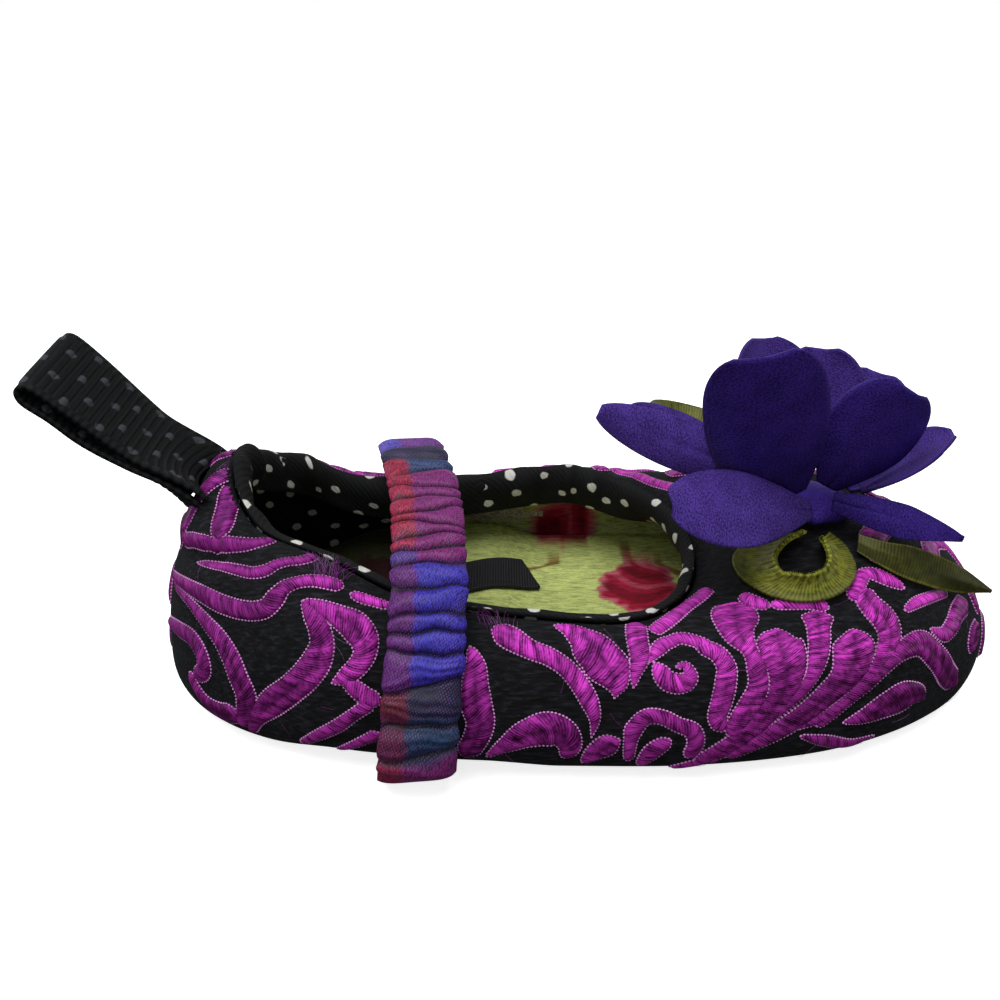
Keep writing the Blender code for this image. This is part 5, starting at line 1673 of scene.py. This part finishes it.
def close_ends(piece):
    """Fills the two open ends of a tube."""
    work = bmesh.new()
    work.from_mesh(piece.data)
    bmesh.ops.holes_fill(work, edges=[edge for edge in work.edges if edge.is_boundary], sides=0)
    bmesh.ops.recalc_face_normals(work, faces=work.faces)
    work.to_mesh(piece.data)
    work.free()
    return piece


def fibre_tree():
    """Thin round fibres along lines of edges."""
    tree, given, path, inputs = tree_on_lines("fibres", ("Radius",))
    ring = add(tree, "GeometryNodeCurvePrimitiveCircle", {"Resolution": 3, "Radius": given.outputs["Radius"]})
    drawn = {"Curve": path.outputs[0], "Profile Curve": ring.outputs[0], "Fill Caps": True}
    finish_tree(tree, given, add(tree, "GeometryNodeCurveToMesh", drawn))
    return tree, inputs


def make_lint(sizes, colours):
    """Stray fibres that lie on the upper, and tufts of frayed thread that stand off it."""
    chance = np.random.default_rng(FIBRE_SEED)
    spots = zip(chance.uniform(0, GIRTH, FIBRES), chance.uniform(5, 30, FIBRES))
    starts = [(around, climb, FIBRE_LENGTH, 0.35) for around, climb in spots]
    for tuft in TUFTS:
        for aside, upward in chance.normal(0, (1.2, 0.6), (tuft.fibres, 2)):
            starts.append((tuft.around + aside, tuft.climb + upward, tuft.length, 1.6))
    around, climb, length, loft = np.array(starts).T
    length = length * chance.uniform(0.4, 1.5, len(length))
    any_way = chance.uniform(0, 2 * math.pi, len(length))
    upward = chance.normal(math.pi / 2, 0.35, len(length))
    heading = np.where(loft < 1, any_way, upward)
    curl = chance.normal(0, 0.5, len(length))
    share = np.linspace(0, 1, FIBRE_POINTS)
    bearing = heading[:, None] + curl[:, None] * share
    step = length[:, None] / FIBRE_POINTS
    at_around = around[:, None] + np.cumsum(np.cos(bearing) * step, axis=1)
    at_climb = climb[:, None] + np.cumsum(np.sin(bearing) * step, axis=1)
    surface, out, _, _, top = upper_surface(at_around.ravel(), at_climb.ravel(), sizes.crease_share)
    height = 0.12 + loft[:, None] * chance.uniform(0.2, 1.2, (len(length), 1)) * share * (1.3 - 0.6 * share)
    points = (surface + out * height.reshape(-1, 1)).reshape(len(length), FIBRE_POINTS, 3)
    whole = np.all((at_climb > LOWEST_CLIMB) & (at_climb < top.reshape(at_climb.shape) + 0.2), axis=1)
    points = points[whole]
    first = np.arange(len(points))[:, None] * FIBRE_POINTS + np.arange(FIBRE_POINTS - 1)
    lines = [(int(place), int(place) + 1) for place in first.ravel()]
    lint = new_piece("lint", points.reshape(-1, 3), np.zeros((0, 4), int), None, edges=lines)
    tree, (radius, finish) = fibre_tree()
    made_by_nodes(lint, tree, {radius: sizes.fibre_radius, finish: lint_fibre()})
    settle(lint, "brocade")


def make_stage(sizes, colours):
    """White paper to the horizon, a broad soft light above, a weak one in front, and the camera."""
    reach = (-FLOOR_REACH, FLOOR_REACH)
    paper = np.array([[(along, across, FLOOR_UP) for across in reach] for along in reach])
    floor = grid_piece("paper_floor", paper, studio_paper())
    floor.visible_diffuse = floor.visible_glossy = False
    world = bpy.data.worlds.new("soft studio")
    world.use_nodes = True
    sky = world.node_tree
    where = add(sky, "ShaderNodeTexCoord")
    height = add(sky, "ShaderNodeSeparateXYZ", {0: where.outputs["Generated"]})
    shifted = add(sky, "ShaderNodeMath", {0: height.outputs["Z"], 1: 0.5}, operation="ADD")
    stops = ((0.44, "#303030"), (0.9, "#7C7C7C"), (0.47, "#FFFFFF"), (0.62, "#FFFFFF"))
    glow = add(sky, "ShaderNodeValToRGB", {"Fac": shifted.outputs[0]}, stops=stops)
    plug(sky, sky.nodes["Background"], {"Color": glow.outputs[0], "Strength": 1.0})
    scene = bpy.context.scene
    scene.world = world
    scene.view_settings.view_transform = "Standard"
    for name, kind, place, tilt_deg, power, softness in (
        ("broad light above", "SUN", (0.0, 0.0, 1.0), (3.0, -8.0, 0.0), 2.4, math.radians(60)),
        ("weak light in front", "AREA", (-0.20, -0.50, 0.35), (56.0, 0.0, -20.0), 0.35, 0.4),
    ):
        lamp = bpy.data.lights.new(name, kind)
        lamp.energy = power
        if kind == "SUN":
            lamp.angle = softness
        else:
            lamp.size = softness
        light = bpy.data.objects.new(name, lamp)
        light.location = place
        light.rotation_euler = [math.radians(part) for part in tilt_deg]
        scene.collection.objects.link(light)
    lens = bpy.data.cameras.new("picture camera")
    lens.lens = LENS
    lens.sensor_width = SENSOR
    lens.clip_start = 0.005
    camera = bpy.data.objects.new("picture camera", lens)
    camera.location = ((CAMERA_ALONG - ORIGIN_ALONG) * MM, CAMERA_ACROSS * MM, CAMERA_UP * MM)
    camera.rotation_euler = (math.radians(CAMERA_TILT_DEG), 0.0, 0.0)
    scene.collection.objects.link(camera)
    scene.camera = camera


# The add-on


class MakesPiece:
    """An operator that hands the scene's sizes and colours to a piece's own function"""

    def execute(self, context):
        self.make(context.scene.crib_shoe_sizes, context.scene.crib_shoe_colours)
        return {"FINISHED"}


class CRIBSHOE_OT_upper(MakesPiece, bpy.types.Operator):
    """Makes the creased upper with its lining"""

    bl_idname = "cribshoe.upper"
    bl_label = "Upper"
    make = staticmethod(make_upper)


class CRIBSHOE_OT_scrolls(MakesPiece, bpy.types.Operator):
    """Makes the brocade's scrolls and the couching along them"""

    bl_idname = "cribshoe.scrolls"
    bl_label = "Scrolls and couching"
    make = staticmethod(make_scrolls)


class CRIBSHOE_OT_facing(MakesPiece, bpy.types.Operator):
    """Makes the dotted cotton over the collar edge"""

    bl_idname = "cribshoe.facing"
    bl_label = "Collar facing"
    make = staticmethod(make_facing)


class CRIBSHOE_OT_soles(MakesPiece, bpy.types.Operator):
    """Makes the suede outsole and the printed insole"""

    bl_idname = "cribshoe.soles"
    bl_label = "Outsole and insole"
    make = staticmethod(make_soles)


class CRIBSHOE_OT_tab(MakesPiece, bpy.types.Operator):
    """Makes the blank tape on the insole"""

    bl_idname = "cribshoe.tab"
    bl_label = "Insole tab"
    make = staticmethod(make_tab)


class CRIBSHOE_OT_band(MakesPiece, bpy.types.Operator):
    """Makes the gathered elastic band"""

    bl_idname = "cribshoe.band"
    bl_label = "Elastic band"
    make = staticmethod(make_band)


class CRIBSHOE_OT_pull_loop(MakesPiece, bpy.types.Operator):
    """Makes the ribbed pull loop at the heel"""

    bl_idname = "cribshoe.pull_loop"
    bl_label = "Pull loop"
    make = staticmethod(make_pull_loop)


class CRIBSHOE_OT_flower(MakesPiece, bpy.types.Operator):
    """Makes the satin petals and the knot that they are sewn to"""

    bl_idname = "cribshoe.flower"
    bl_label = "Flower"
    make = staticmethod(make_flower)


class CRIBSHOE_OT_ribbons(MakesPiece, bpy.types.Operator):
    """Makes the lime ribbon loops and the leaf"""

    bl_idname = "cribshoe.ribbons"
    bl_label = "Lime ribbons"
    make = staticmethod(make_ribbons)


class CRIBSHOE_OT_lint(MakesPiece, bpy.types.Operator):
    """Strews the stray fibres on the upper"""

    bl_idname = "cribshoe.lint"
    bl_label = "Lint"
    make = staticmethod(make_lint)


class CRIBSHOE_OT_stage(MakesPiece, bpy.types.Operator):
    """Makes the floor, the lights and the camera"""

    bl_idname = "cribshoe.stage"
    bl_label = "Stage"
    make = staticmethod(make_stage)


OPERATORS = (
    CRIBSHOE_OT_stage,
    CRIBSHOE_OT_upper,
    CRIBSHOE_OT_scrolls,
    CRIBSHOE_OT_soles,
    CRIBSHOE_OT_tab,
    CRIBSHOE_OT_facing,
    CRIBSHOE_OT_band,
    CRIBSHOE_OT_pull_loop,
    CRIBSHOE_OT_flower,
    CRIBSHOE_OT_ribbons,
    CRIBSHOE_OT_lint,
)


class CRIBSHOE_PT_pieces(bpy.types.Panel):
    """The shoe's sizes and colours, and its pieces in the order that they are made"""

    bl_label = "Crib shoe"
    bl_space_type = "VIEW_3D"
    bl_region_type = "UI"
    bl_category = "Crib shoe"

    def draw(self, context):
        for group in (context.scene.crib_shoe_sizes, context.scene.crib_shoe_colours):
            for key in group.__annotations__:
                self.layout.prop(group, key)
        for operator in OPERATORS:
            self.layout.operator(operator.bl_idname)


CLASSES = (ShoeSizes, ShoeColours) + OPERATORS + (CRIBSHOE_PT_pieces,)


def register():
    for each in CLASSES:
        bpy.utils.register_class(each)
    bpy.types.Scene.crib_shoe_sizes = bpy.props.PointerProperty(type=ShoeSizes)
    bpy.types.Scene.crib_shoe_colours = bpy.props.PointerProperty(type=ShoeColours)


def unregister():
    del bpy.types.Scene.crib_shoe_colours
    del bpy.types.Scene.crib_shoe_sizes
    for each in reversed(CLASSES):
        bpy.utils.unregister_class(each)


def main():
    register()
    for operator in OPERATORS:
        group, name = operator.bl_idname.split(".")
        getattr(getattr(bpy.ops, group), name)()


if __name__ == "__main__":
    main()
